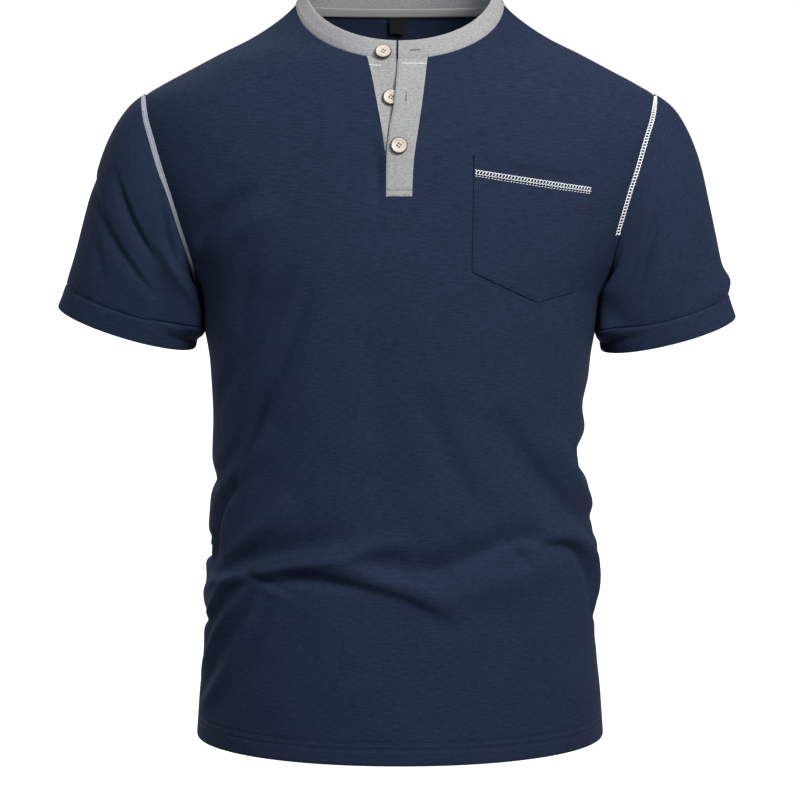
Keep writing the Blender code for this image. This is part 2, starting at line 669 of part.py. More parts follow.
def neck_ring(angle, rise=0.0, level=0.0):
    """Points round the collar band, from rise 0 at its seam to 1 at its top edge, moved out by level."""
    seam, normal = neck_seam(angle)
    inward = np.cross(neck_seam(angle + 0.01)[0] - neck_seam(angle - 0.01)[0], normal)
    inward *= -np.sign(np.sum(inward[..., :2] * seam[..., :2], axis=-1))[..., None]
    inward /= np.linalg.norm(inward, axis=-1, keepdims=True)
    smaller = 1 - BAND_LEAN * rise
    point = seam * np.stack([smaller, smaller, np.ones_like(smaller)], -1) + inward * 2 * SEAM_GAP
    point[..., 2] += BAND_HEIGHT * rise
    level_way = np.stack([np.sin(angle), -np.cos(angle), 0 * angle], -1)
    upright = ease(rise / 0.6)[..., None]
    outward = normal * (1 - upright) + level_way * upright
    outward /= np.linalg.norm(outward, axis=-1, keepdims=True)
    return point + outward * level


def band_angles():
    """Angles round the band of the points that its seam shares with the panels and plackets."""
    turn, height = panel_domain(-1)
    across = form_point(turn[-1], height[-1], -1)[:, 0]
    middle = len(across) // 2
    left = across[middle + 1 : middle + NECK_COLUMNS]
    right = -across[middle - 1 : middle - NECK_COLUMNS : -1]
    left = np.concatenate([np.linspace(BAND_END_LEFT, left[0], 4)[:-1], left])
    right = np.concatenate([np.linspace(-BAND_END_RIGHT, right[0], 4)[:-1], right])
    behind = math.pi / 2 + np.arange(2 * NECK_COLUMNS + 1) / (2 * NECK_COLUMNS) * math.pi
    start = np.arcsin(left / NECK_HALF_WIDTH)
    end = 2 * math.pi - np.arcsin(right / NECK_HALF_WIDTH)
    return np.concatenate([start, behind, end[::-1]])


def make_collar_band(material):
    """The band round the neck, from its left end at the front round the back to its right end."""
    rise = np.array([0.0, 0.5, 1.0])[:, None]
    angle = band_angles()[None, :] + 0 * rise
    rise = rise + 0 * angle
    return wall("collar_band", neck_ring(angle, rise, 0.0), neck_ring(angle, rise, DOUBLE), material)


def opening_grid(edge_from, edge_to, heights, shares):
    """Across and height of a placket strip's points, between two edges of the opening table."""
    height = heights[:, None] + 0 * shares[None, :]
    start, end = column(OPENING, edge_from, height), column(OPENING, edge_to, height)
    across = start + (end - start) * shares[None, :]
    top = neckline_height(across, NECK_FRONT_DROP) - SEAM_GAP
    fit = ease((heights - heights[0]) / (heights[-1] - heights[0]))[:, None]
    return across, height + (top - heights[-1]) * fit


def make_placket_top(material):
    """The strip with the buttonholes, level with the front and sewn to its left part."""
    bottom = OPENING_BOTTOM + SEAM_GAP
    strip = OPENING_BOTTOM + PLACKET_END
    heights = np.concatenate([[bottom, strip, strip + 0.0008], np.linspace(-0.160, TOP_OF_OPENING, 10)])
    shares = np.array([0.0, 0.22, 0.48, 0.74, 1.0])
    across, height = opening_grid("top_edge", "sewn_left", heights, shares)
    across = across - SEAM_GAP * (shares == 1.0)
    middle_button = BUTTONS[0].height
    gape = GAPE * (1 - ease(shares / 0.6))[None, :] * np.exp(-(((height - middle_button) / 0.016) ** 2))
    end_strip = BAR_STEP * (height < OPENING_BOTTOM + PLACKET_END + 0.0005)
    turn = turn_at(across, height)
    inner = cloth_point(turn, height, -1, gape)
    outer = cloth_point(turn, height, -1, gape + DOUBLE + end_strip)
    return wall("placket_top", inner, outer, material)


def make_placket_under(material):
    """The strip with the buttons, sewn to the front's right part and lying behind the top strip."""
    heights = np.linspace(OPENING_BOTTOM + 0.004, TOP_OF_OPENING, 11)
    shares = np.array([0.0, 0.18, 0.42, 0.7, 1.0])
    across, height = opening_grid("sewn_right", "under_edge", heights, shares)
    across = across + SEAM_GAP * (shares == 0.0)
    behind = ease(shares / 0.18)[None, :] * ease((TOP_OF_OPENING - 0.001 - height) / 0.011)
    behind = np.maximum(behind, ease((-0.114 - height) / 0.020))
    turn = turn_at(across, height)
    inner = cloth_point(turn, height, -1, -UNDER_DROP * behind)
    outer = cloth_point(turn, height, -1, DOUBLE - UNDER_DROP * behind)
    return wall("placket_under", inner, outer, material)


def make_pocket(material):
    """The patch pocket: five sided, with its top edge turned in, made from the front's points moved out."""
    sides = 12
    share = np.linspace(0, 1, sides + 1)[None, :]
    point_share = (POCKET_POINT[0] - POCKET_SIDE_IN[0]) / (POCKET_SIDE_OUT[0] - POCKET_SIDE_IN[0])
    share[0, int(round(point_share * sides))] = point_share
    top = mix_points(POCKET_TOP_IN, POCKET_TOP_OUT, share)
    lowest = np.where(
        (share <= point_share)[..., None],
        mix_points(POCKET_SIDE_IN, POCKET_POINT, share / point_share),
        mix_points(POCKET_POINT, POCKET_SIDE_OUT, (share - point_share) / (1 - point_share)),
    )
    hem_share = POCKET_HEM / (POCKET_TOP_IN[1] - POCKET_SIDE_IN[1])
    down = np.concatenate([[0.0], [hem_share, hem_share + 0.01], np.linspace(hem_share, 1, 12)[1:]])
    grid = top + (lowest - top) * down[:, None, None]
    bulge = 0.004 * np.sin(math.pi * down)[:, None] * np.abs(2 * share - 1) ** 3 * (share > 0.5)
    across, height = grid[..., 0] + bulge, grid[..., 1]
    turn = turn_at(across, height)
    turned = HEM_TURN * (down < hem_share + 0.005)[:, None] + 0 * turn
    inner = cloth_point(turn, height, -1, CLOTH + LAID_GAP + 0 * turn)
    outer = cloth_point(turn, height, -1, 2 * CLOTH + LAID_GAP + turned)
    return wall("chest_pocket", inner, outer, material)


def mix_points(a, b, share):
    return np.array(a) + (np.array(b) - np.array(a)) * share[..., None]


def make_neck_tape(material):
    """The tape that covers the neck seam inside the back."""
    angle = math.pi + np.arange(1 - NECK_COLUMNS, NECK_COLUMNS)[None, :] / NECK_COLUMNS * math.pi / 2
    down = np.array([0.0, 0.5, 1.0])[:, None]
    x = NECK_HALF_WIDTH * np.sin(angle) * np.ones_like(down)
    height = neckline_height(x, NECK_BACK_DROP) - 0.0004 - TAPE_WIDTH * down
    x = x * (1 + 0.02 * down)
    turn = turn_at(x, height)
    outer = cloth_point(turn, height, 1, -TAPE_GAP + 0 * turn)
    inner = cloth_point(turn, height, 1, -TAPE_GAP - 0.001 + 0 * turn)
    return wall("neck_tape", inner, outer, material)


def make_neck_label(material):
    """The woven label that hangs inside the back neck, over the tape. It is bare."""
    x = np.linspace(-LABEL_WIDTH / 2, LABEL_WIDTH / 2, 3)[None, :]
    top = NECK_POINT - NECK_BACK_DROP
    height = np.linspace(top - 0.0012, top - LABEL_DROP, 4)[:, None]
    x, height = x + 0 * height, height + 0 * x
    turn = turn_at(x, height)
    level = -TAPE_GAP - 0.001 - SEAM_GAP
    outer = cloth_point(turn, height, 1, level + 0 * turn)
    inner = cloth_point(turn, height, 1, level - 0.001 + 0 * turn)
    return wall("neck_label", inner, outer, material)


def make_button(name, place, out, material):
    """A turned button with a raised rim and four holes, its back at place and its face towards out."""
    profile = [
        (0.0, BUTTON_THICK * 0.72),
        (BUTTON_RADIUS * 0.52, BUTTON_THICK * 0.72),
        (BUTTON_RADIUS - BUTTON_RIM, BUTTON_THICK * 0.9),
        (BUTTON_RADIUS - BUTTON_RIM * 0.6, BUTTON_THICK),
        (BUTTON_RADIUS - BUTTON_RIM * 0.15, BUTTON_THICK * 0.85),
        (BUTTON_RADIUS, BUTTON_THICK * 0.5),
        (BUTTON_RADIUS - BUTTON_RIM * 0.4, 0.0),
        (0.0, 0.0),
    ]
    mesh = bpy.data.meshes.new(name)
    edges = [(i, i + 1) for i in range(len(profile) - 1)]
    mesh.from_pydata([(r, 0.0, h) for r, h in profile], edges, [])
    button = bpy.data.objects.new(name, mesh)
    bpy.data.collections["henley_shirt"].objects.link(button)
    screw = button.modifiers.new("Turn", "SCREW")
    screw.steps = screw.render_steps = 16
    screw.use_merge_vertices = True
    screw.merge_threshold = 0.00001
    screw.use_normal_calculate = True
    across = Vector(out).orthogonal().normalized()
    turn = Matrix((across, Vector(out).cross(across), Vector(out))).transposed()
    button.matrix_world = Matrix.Translation(Vector(place)) @ turn.to_4x4()
    cut = button.modifiers.new("Holes", "BOOLEAN")
    cut.operation = "DIFFERENCE"
    cut.object = make_hole_cutter(name + "_holes", button.matrix_world)
    button.data.materials.append(material)
    return button


def make_hole_cutter(name, matrix):
    """Four thin cylinders, which cut a button's thread holes."""
    shape = bmesh.new()
    for i in range(4):
        angle = math.pi / 4 + i * math.pi / 2
        middle = Vector((math.cos(angle), math.sin(angle), 0)) * BUTTON_HOLE_SPREAD
        middle.z = BUTTON_THICK / 2
        bmesh.ops.create_cone(
            shape,
            cap_ends=True,
            segments=6,
            radius1=BUTTON_HOLE_RADIUS,
            radius2=BUTTON_HOLE_RADIUS,
            depth=BUTTON_THICK * 3,
            matrix=Matrix.Translation(middle),
        )
    mesh = bpy.data.meshes.new(name)
    shape.to_mesh(mesh)
    shape.free()
    cutter = bpy.data.objects.new(name, mesh)
    cutter.matrix_world = matrix
    cutter.hide_render = True
    cutter.display_type = "WIRE"
    bpy.data.collections["cutters"].objects.link(cutter)
    return cutter


def make_buttons(material):
    angle = np.array(2 * math.pi + TOP_BUTTON_ACROSS / NECK_HALF_WIDTH)
    rise = np.array(TOP_BUTTON_UP)
    place = neck_ring(angle, rise, DOUBLE)
    along = neck_ring(angle + 0.05, rise, DOUBLE) - neck_ring(angle - 0.05, rise, DOUBLE)
    up = neck_ring(angle, rise + 0.3, DOUBLE) - neck_ring(angle, rise - 0.3, DOUBLE)
    out = np.cross(along, up)
    out /= np.linalg.norm(out)
    make_button("button_neck", place + out * BUTTON_STAND, out, material)
    levels = {"button_middle": DOUBLE - UNDER_DROP + BUTTON_STAND, "button_bottom": DOUBLE + BUTTON_STAND}
    for button in BUTTONS:
        turn, height = turn_at(button.across, button.height), np.array(button.height)
        out = form_normal(form_point(turn, height, -1), -1)
        place = cloth_point(turn, height, -1, np.array(levels[button.name]))
        make_button(button.name, place, out, material)


def main():
    for old in list(bpy.data.objects):
        bpy.data.objects.remove(old, do_unlink=True)
    for name in ("henley_shirt", "cutters"):
        bpy.context.scene.collection.children.link(bpy.data.collections.new(name))
    bpy.data.collections["cutters"].hide_render = True
    navy = make_material("navy_jersey", NAVY, 0.9)
    grey = make_material("grey_jersey", GREY, 0.9)
    black = make_material("label_weave", BLACK, 0.7)
    cream = make_material("button_resin", CREAM, 0.45)
    make_panel("front_panel", -1, navy)
    make_panel("back_panel", 1, navy)
    for cuff in CUFFS:
        make_sleeve(cuff, navy)
    make_collar_band(grey)
    make_placket_top(grey)
    make_placket_under(grey)
    make_pocket(navy)
    make_neck_tape(grey)
    make_neck_label(black)
    make_buttons(cream)


main()
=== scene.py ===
"""The henley shirt's looks: finely folded cloth, sewing and buttons, with the light and the camera.

Metres. +Z is up, the chest faces -Y, and +X is the wearer's left. The cloth is patches of the same form as
the CAD part's, on finer grids, with creases added. Threads are laid on strips made from its points.
"""

import math
from collections import namedtuple

import bmesh
import bpy
import numpy as np
from mathutils import Matrix, Vector


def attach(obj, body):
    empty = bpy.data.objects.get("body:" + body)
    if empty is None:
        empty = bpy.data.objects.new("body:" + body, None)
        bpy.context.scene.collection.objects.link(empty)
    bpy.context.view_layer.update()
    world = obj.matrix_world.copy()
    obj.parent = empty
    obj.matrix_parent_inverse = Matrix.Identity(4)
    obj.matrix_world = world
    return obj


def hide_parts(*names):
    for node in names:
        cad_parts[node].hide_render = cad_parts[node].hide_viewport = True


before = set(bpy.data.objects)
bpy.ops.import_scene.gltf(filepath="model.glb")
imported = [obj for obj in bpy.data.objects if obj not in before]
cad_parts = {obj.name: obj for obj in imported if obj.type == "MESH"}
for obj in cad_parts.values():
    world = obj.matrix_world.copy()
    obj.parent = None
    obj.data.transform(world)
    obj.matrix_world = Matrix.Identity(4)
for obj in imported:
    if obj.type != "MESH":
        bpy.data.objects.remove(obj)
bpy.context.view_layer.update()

# ---- Cloth ----
CLOTH = 0.0012
DOUBLE = 0.0018
SEAM_GAP = 0.0003
LAID_GAP = 0.0005
TAPE_GAP = 0.0011
HEM_TURN = 0.0008

# ---- Edges and stitch lines of the cloth: how deep they are rounded off and pressed in ----
EDGE_ROUND = 0.0006
SOFT_EDGE_ROUND = 0.0005
STITCH_DENT = 0.0006
DENT_WIDTH = 0.0012
HEM_STITCH_HEIGHTS = (0.0150, 0.0212)

# ---- Heights on the body ----
HEM = -0.700
UNDERARM = -0.272
SHOULDER_TIP = -0.0915
BODY_HEM_DEPTH = 0.022
CUFF_DEPTH = 0.023

# ---- Neck ----
NECK_HALF_WIDTH = 0.0965
NECK_POINT = -0.0075
NECK_FRONT_DROP = 0.0506
NECK_BACK_DROP = 0.0015
BAND_HEIGHT = 0.0175
BAND_LEAN = 0.10
BAND_END_RIGHT = -0.0036
BAND_END_LEFT = -0.0016

# ---- The form: half width and depths of its oval at each height ----
Width = namedtuple("Width", "height half")
WIDTHS = [
    Width(HEM, 0.1945),
    Width(-0.655, 0.1912),
    Width(-0.600, 0.1865),
    Width(-0.545, 0.1860),
    Width(-0.490, 0.1805),
    Width(-0.440, 0.1772),
    Width(-0.390, 0.1755),
    Width(-0.340, 0.1785),
    Width(-0.300, 0.1845),
    Width(UNDERARM, 0.1885),
    Width(-0.260, 0.1935),
    Width(-0.240, 0.2045),
    Width(-0.210, 0.2205),
    Width(-0.180, 0.2350),
    Width(-0.150, 0.2455),
    Width(-0.128, 0.2490),
    Width(-0.112, 0.2480),
    Width(-0.100, 0.2430),
    Width(SHOULDER_TIP, 0.2370),
    Width(-0.0823, 0.2225),
    Width(-0.0679, 0.1954),
    Width(-0.0530, 0.1671),
    Width(-0.0385, 0.1379),
    Width(-0.0246, 0.1161),
    Width(-0.0144, 0.1033),
    Width(NECK_POINT, NECK_HALF_WIDTH),
]
Depth = namedtuple("Depth", "height front back square")
DEPTHS = [
    Depth(HEM, 0.131, 0.119, 2.07),
    Depth(-0.660, 0.1297, 0.116, 2.2),
    Depth(-0.620, 0.1285, 0.113, 2.3),
    Depth(-0.560, 0.126, 0.108, 2.35),
    Depth(-0.500, 0.1235, 0.103, 2.35),
    Depth(-0.450, 0.1225, 0.101, 2.35),
    Depth(-0.400, 0.1235, 0.103, 2.35),
    Depth(-0.340, 0.125, 0.110, 2.35),
    Depth(UNDERARM, 0.125, 0.116, 2.3),
    Depth(-0.200, 0.120, 0.119, 2.25),
    Depth(-0.160, 0.114, 0.118, 2.2),
    Depth(-0.120, 0.1055, 0.1145, 2.15),
    Depth(SHOULDER_TIP, 0.0955, 0.108, 2.1),
    Depth(-0.0720, 0.0865, 0.1015, 2.1),
    Depth(-0.0581, 0.0775, 0.0960, 2.1),
    Depth(-0.0508, 0.0690, 0.0928, 2.1),
    Depth(-0.0434, 0.0575, 0.0895, 2.1),
    Depth(-0.0313, 0.0415, 0.0835, 2.1),
    Depth(-0.0190, 0.0295, 0.0765, 2.1),
    Depth(-0.0110, 0.0220, 0.0715, 2.1),
    Depth(NECK_POINT, 0.0180, 0.0690, 2.1),
]

# ---- Armholes: half distance between their seams at each height ----
Armhole = namedtuple("Armhole", "height across")
ARMHOLE = [
    Armhole(UNDERARM, 0.1885),
    Armhole(-0.2458, 0.1928),
    Armhole(-0.2256, 0.1982),
    Armhole(-0.1987, 0.2064),
    Armhole(-0.1739, 0.2141),
    Armhole(-0.1547, 0.2206),
    Armhole(-0.1304, 0.2280),
    Armhole(-0.1078, 0.2342),
    Armhole(SHOULDER_TIP, 0.2370),
]

# ---- Front opening ----
Opening = namedtuple("Opening", "height sewn_right sewn_left top_edge under_edge")
OPENING = [
    Opening(-0.180, -0.0129, 0.0108, -0.0126, 0.0070),
    Opening(-0.150, -0.0129, 0.0122, -0.0124, 0.0070),
    Opening(-0.121, -0.0162, 0.0162, -0.0098, 0.0070),
    Opening(-0.096, -0.0208, 0.0200, -0.0052, 0.0050),
    Opening(-0.066, -0.0272, 0.0238, -0.0026, -0.0032),
    Opening(-0.050, -0.0324, 0.0258, -0.0018, -0.0036),
]
OPENING_BOTTOM = OPENING[0].height
TOP_OF_OPENING = -0.057
UNDER_DROP = 0.0030
GAPE = 0.0036
PLACKET_END = 0.0050
BAR_STEP = 0.0006

# ---- Pocket ----
POCKET_TOP_IN = (0.0665, -0.1430)
POCKET_TOP_OUT = (0.1740, -0.1598)
POCKET_SIDE_OUT = (0.1610, -0.2675)
POCKET_SIDE_IN = (0.0648, -0.2472)
POCKET_POINT = (0.1235, -0.2757)
POCKET_HEM = 0.0172
POCKET_DEPTH = POCKET_TOP_IN[1] - POCKET_SIDE_IN[1]
POCKET_POINT_SHARE = (POCKET_POINT[0] - POCKET_SIDE_IN[0]) / (POCKET_SIDE_OUT[0] - POCKET_SIDE_IN[0])
POCKET_LEVEL = 2 * CLOTH + LAID_GAP
POCKET_STITCH_INSET = 0.018
POCKET_STITCH_DENT = 0.0008
POCKET_MOUTH = 0.0020

# ---- Label and neck tape ----
TAPE_WIDTH = 0.0075
TAPE_THICKNESS = 0.0010
LABEL_THICKNESS = 0.0008
LABEL_WIDTH = 0.016
LABEL_DROP = 0.0215
LABEL_ACROSS = -0.0019

# ---- Buttons ----
BUTTON_RADIUS = 0.0076
BUTTON_THICK = 0.0026
BUTTON_STAND = 0.0007
BUTTON_HOLE_RADIUS = 0.00085
BUTTON_HOLE_SPREAD = 0.0017
BUTTON_SEGMENTS = 48
BUTTON_TURN = 0.12
Button = namedtuple("Button", "name across height drop")
BUTTONS = [
    Button("button_middle", -0.0080, -0.0915, UNDER_DROP),
    Button("button_bottom", -0.0009, -0.1350, 0.0),
]
TOP_BUTTON_ACROSS = -0.0154
TOP_BUTTON_UP = 0.27
TOP_BUTTON_TILT = 0.30
BUTTON_FACE = 0.70
KNOT_SPREAD = 0.00013
KNOT_RADIUS = 0.00017
KNOT_BACK = 0.0004
KNOT_RISE = 0.0006

# ---- Buttonholes: place, length, and the sizes of the slit and its binding ----
NECK_HOLE_ACROSS = 0.0140
NECK_HOLE_UP = 0.46
NECK_HOLE_LENGTH = 0.0105
MIDDLE_HOLE_ACROSS = 0.0052
MIDDLE_HOLE_HEIGHT = -0.0912
MIDDLE_HOLE_LENGTH = 0.0095
SLIT_HALF_WIDTH = 0.00042
SLIT_FRONT = 0.00006
SLIT_BACK = -0.00024
BINDING_PITCH = 0.00055
BINDING_FROM = 0.00030
BINDING_TO = 0.00115
BINDING_RADIUS = 0.00026
BAR_HALF = 0.0012
BAR_RADIUS = 0.00040

# ---- Sleeves ----
CUFF_FRONT = (0.0, -0.0520, -0.0060)
# centre of the cuff's ring, its outer and front half axes, how full the sleeve's top is and how it closes in
Cuff = namedtuple("Cuff", "name side centre outer front crown taper")
CUFFS = [
    Cuff("sleeve_right", -1, (-0.2588, 0.004, -0.3080), (-0.0643, 0.0, 0.0197), CUFF_FRONT, 0.245, 0.009),
    Cuff("sleeve_left", 1, (0.2543, 0.004, -0.3140), (0.0632, 0.0, 0.0160), CUFF_FRONT, 0.272, 0.011),
]
SLEEVE_CLEARANCE = 0.0042
SLEEVE_RAISED = 0.0002
SLEEVE_LENGTH = 0.20
LENGTH_TO_HEM = 0.15
SLEEVE_ROUND = 0.40
# the ways in which the sleeve leaves the top and the foot of its armhole, and how full its curves are
LEAVE_AT_TOP = np.array([0.88, 0.0, -0.47])
LEAVE_AT_FOOT = np.array([0.10, 0.0, -0.99])
LEAVE_FORWARD = 0.28
FULLNESS_BELOW = 0.26
FULLNESS_AT_CUFF = 0.30

# ---- Sewing ----
THREAD_SIDES = 5
THREAD_FLATNESS = 0.75
THREAD_TAPER = 0.45
THREAD_DIP = 0.00015
Stitch = namedtuple("Stitch", "pitch radius length lift")
HEM_STITCH = Stitch(0.0031, 0.00020, 0.78, 0.00002)
CUFF_STITCH = Stitch(0.0031, 0.00018, 0.78, -0.00002)
POCKET_EDGE_STITCH = Stitch(0.0026, 0.00020, 0.78, -0.00005)
POCKET_TOP_STITCH = Stitch(0.0029, 0.00036, 0.70, 0.00040)
PLACKET_STITCH = Stitch(0.0024, 0.00018, 0.78, 0.00008)
PLACKET_END_STITCH = Stitch(0.0022, 0.00022, 0.78, 0.00020)
PLACKET_FOOT_STITCH = Stitch(0.0022, 0.00018, 0.78, 0.00060)
BAR_STITCH = Stitch(0.0026, 0.00048, 0.94, 0.00045)
BAND_STITCH = Stitch(0.0026, 0.00016, 0.78, 0.00008)
# threads that loop along a line, and rungs that lean from one line across to another
LOOP = 0.0029
LOOP_RISE = 0.00010
LOOP_LIFT = 0.0003
Chain = namedtuple("Chain", "radius wave")
LADDER_CHAIN = Chain(0.00046, 0.00040)
POCKET_CHAIN = Chain(0.00034, 0.00045)
Rung = namedtuple("Rung", "low high pitch slant radius lift")
LADDER_RUNGS = [
    Rung(-0.0027, 0.0027, LOOP, 0.0016, 0.00056, 0.0004),
    Rung(-0.0025, 0.0025, LOOP, -0.0010, 0.00040, 0.0003),
]
LADDER_TOP_RUNG = Rung(-0.0022, 0.0022, 0.0010, 0.0004, 0.00040, 0.0004)
TICKS = [
    Rung(-0.0020, -0.0004, 0.0021, 0.0010, 0.00020, 0.0008),
    Rung(0.0004, 0.0020, 0.0023, -0.0010, 0.00020, 0.0008),
]
POCKET_RUNG = Rung(-0.0006, 0.0030, LOOP, 0.0013, 0.00042, 0.0004)
LADDER_SHARE = 0.655
LADDER_TOP_LENGTH = 0.016
LADDER_HALF = 0.0024
TICKS_FROM = 0.12
TICKS_TO = 0.5
TAPE_HALF = 0.0026
TAPE_THICK = 0.0006
HEM_STITCH_LINE = HEM + 0.018
HEM_STITCH_ROWS = (-0.0030, 0.0032)
RIGHT_SEAM_DRIFT = -0.0006
LEFT_SEAM_DRIFT = -0.0036
STITCH_OFFSETS = np.array([-0.001, 0.0, 0.001])

# ---- Folds ----
# Each runs through three points. On the body they are metres round from the front centre (0.25 at the side
# seams, 0.5 at the back centre, negative on the wearer's right) and height. On a sleeve they are metres round
# from its top line towards the front, and metres down from the armhole. rise is out of the cloth, and lean
# makes the side on the left of the path the wider one.
Fold = namedtuple("Fold", "a0 z0 a1 z1 a2 z2 width rise lean")
BODY_FOLDS = [
    # the roll across the waist: its crest, the crease under it and the hollow above it
    Fold(-0.270, -0.560, -0.103, -0.517, 0.012, -0.493, 0.0100, 0.0060, 0.0),
    Fold(-0.262, -0.558, -0.133, -0.513, -0.040, -0.499, 0.0120, -0.0095, 0.5),
    Fold(-0.108, -0.517, -0.010, -0.530, 0.056, -0.566, 0.0135, 0.0060, 0.15),
    Fold(-0.112, -0.529, -0.013, -0.542, 0.052, -0.578, 0.0058, -0.0018, -0.2),
    Fold(-0.155, -0.538, -0.092, -0.530, -0.025, -0.536, 0.0085, -0.0048, 0.4),
    Fold(-0.157, -0.527, -0.126, -0.535, -0.090, -0.546, 0.0045, -0.0024, 0.3),
    Fold(-0.042, -0.507, 0.004, -0.520, 0.048, -0.521, 0.0100, -0.0075, 0.5),
    Fold(0.018, -0.525, 0.062, -0.510, 0.106, -0.493, 0.0100, -0.0075, 0.5),
    Fold(0.088, -0.494, 0.119, -0.492, 0.154, -0.500, 0.0090, -0.0045, 0.4),
    Fold(0.101, -0.494, 0.112, -0.508, 0.124, -0.523, 0.0060, -0.0036, 0.3),
    Fold(0.010, -0.545, 0.080, -0.534, 0.165, -0.516, 0.0160, 0.0045, 0.0),
    # the left end of the roll, at the side
    Fold(0.132, -0.505, 0.189, -0.519, 0.206, -0.582, 0.0055, -0.0055, -0.2),
    Fold(0.134, -0.493, 0.201, -0.509, 0.219, -0.578, 0.0100, 0.0085, 0.3),
    Fold(0.220, -0.528, 0.262, -0.541, 0.310, -0.560, 0.0110, 0.0030, 0.0),
    # under the right end of the roll, down to the hip
    Fold(-0.136, -0.527, -0.178, -0.557, -0.224, -0.614, 0.0060, -0.0042, 0.0),
    Fold(-0.155, -0.526, -0.187, -0.554, -0.230, -0.597, 0.0055, 0.0034, 0.0),
    Fold(-0.150, -0.546, -0.187, -0.587, -0.234, -0.643, 0.0060, 0.0040, 0.0),
    Fold(-0.127, -0.532, -0.172, -0.585, -0.218, -0.657, 0.0065, -0.0055, 0.2),
    Fold(-0.134, -0.548, -0.172, -0.621, -0.219, -0.672, 0.0065, 0.0038, 0.0),
    Fold(-0.120, -0.545, -0.155, -0.620, -0.196, -0.682, 0.0100, -0.0032, 0.0),
    # drag lines from the right waist up to the chest
    Fold(-0.078, -0.255, -0.136, -0.366, -0.212, -0.450, 0.0085, -0.0058, 0.3),
    Fold(-0.125, -0.390, -0.162, -0.430, -0.210, -0.465, 0.0090, 0.0042, 0.0),
    Fold(-0.130, -0.345, -0.163, -0.419, -0.181, -0.468, 0.0075, -0.0050, 0.3),
    Fold(-0.092, -0.240, -0.151, -0.314, -0.215, -0.385, 0.0090, -0.0050, 0.3),
    Fold(-0.118, -0.228, -0.143, -0.266, -0.162, -0.305, 0.0095, -0.0028, 0.0),
    Fold(-0.166, -0.443, -0.197, -0.476, -0.198, -0.524, 0.0080, -0.0090, -0.4),
    Fold(-0.108, -0.452, -0.150, -0.497, -0.210, -0.541, 0.0095, 0.0058, 0.0),
    # drag line from the pocket to the left waist
    Fold(0.090, -0.370, 0.160, -0.459, 0.258, -0.527, 0.0150, -0.0070, -0.3),
    Fold(0.148, -0.393, 0.198, -0.451, 0.257, -0.498, 0.0110, 0.0050, 0.0),
    # slack down the middle
    Fold(-0.022, -0.250, -0.020, -0.380, -0.003, -0.492, 0.0220, -0.0028, 0.0),
    Fold(0.018, -0.345, 0.047, -0.418, 0.082, -0.478, 0.0130, -0.0030, 0.0),
    # short folds that notch the side outline
    Fold(-0.330, -0.448, -0.262, -0.448, -0.200, -0.452, 0.0110, -0.0060, 0.0),
    Fold(-0.340, -0.520, -0.265, -0.518, -0.215, -0.512, 0.0088, -0.0240, 0.0),
    Fold(-0.330, -0.553, -0.255, -0.551, -0.195, -0.548, 0.0110, -0.0015, 0.0),
    Fold(-0.330, -0.593, -0.262, -0.585, -0.205, -0.582, 0.0080, -0.0085, 0.0),
    Fold(0.195, -0.423, 0.262, -0.429, 0.330, -0.426, 0.0165, -0.0165, 0.0),
    Fold(0.200, -0.378, 0.262, -0.380, 0.330, -0.378, 0.0180, -0.0055, 0.0),
    Fold(0.205, -0.487, 0.262, -0.486, 0.320, -0.490, 0.0090, -0.0045, 0.0),
    Fold(0.200, -0.514, 0.262, -0.518, 0.320, -0.516, 0.0120, 0.0050, 0.0),
    Fold(0.215, -0.573, 0.262, -0.577, 0.330, -0.580, 0.0100, -0.0095, 0.0),
    Fold(0.215, -0.596, 0.262, -0.599, 0.330, -0.598, 0.0120, -0.0020, 0.0),
    Fold(-0.0190, -0.128, -0.0185, -0.158, -0.0175, -0.190, 0.0044, -0.0042, 0.0),
    # by the armholes
    Fold(-0.180, -0.229, -0.143, -0.198, -0.104, -0.175, 0.0062, -0.0075, 0.3),
    Fold(-0.172, -0.245, -0.131, -0.212, -0.090, -0.190, 0.0100, 0.0052, 0.0),
    Fold(0.240, -0.300, 0.215, -0.255, 0.190, -0.215, 0.0110, 0.0030, 0.0),
    # back: slack over the waist, and drag lines from the shoulder blades
    Fold(0.310, -0.485, 0.480, -0.525, 0.690, -0.480, 0.0160, 0.0085, 0.2),
    Fold(0.330, -0.540, 0.520, -0.570, 0.700, -0.528, 0.0150, 0.0075, 0.2),
    Fold(0.300, -0.510, 0.500, -0.548, 0.705, -0.505, 0.0100, -0.0075, 0.3),
    Fold(0.320, -0.435, 0.420, -0.470, 0.540, -0.477, 0.0130, 0.0060, 0.2),
    Fold(0.700, -0.420, 0.600, -0.458, 0.500, -0.470, 0.0130, 0.0055, -0.2),
    Fold(0.275, -0.330, 0.330, -0.390, 0.400, -0.470, 0.0110, -0.0050, 0.3),
    Fold(0.725, -0.320, 0.670, -0.385, 0.610, -0.465, 0.0110, -0.0050, -0.3),
    Fold(0.290, -0.240, 0.350, -0.300, 0.380, -0.380, 0.0150, 0.0040, 0.0),
    Fold(0.710, -0.240, 0.650, -0.300, 0.625, -0.370, 0.0150, 0.0040, 0.0),
    Fold(0.330, -0.560, 0.385, -0.610, 0.430, -0.665, 0.0080, -0.0036, 0.2),
    Fold(0.680, -0.550, 0.640, -0.605, 0.585, -0.650, 0.0080, -0.0034, -0.2),
    Fold(0.450, -0.240, 0.500, -0.330, 0.505, -0.430, 0.0200, -0.0030, 0.0),
]
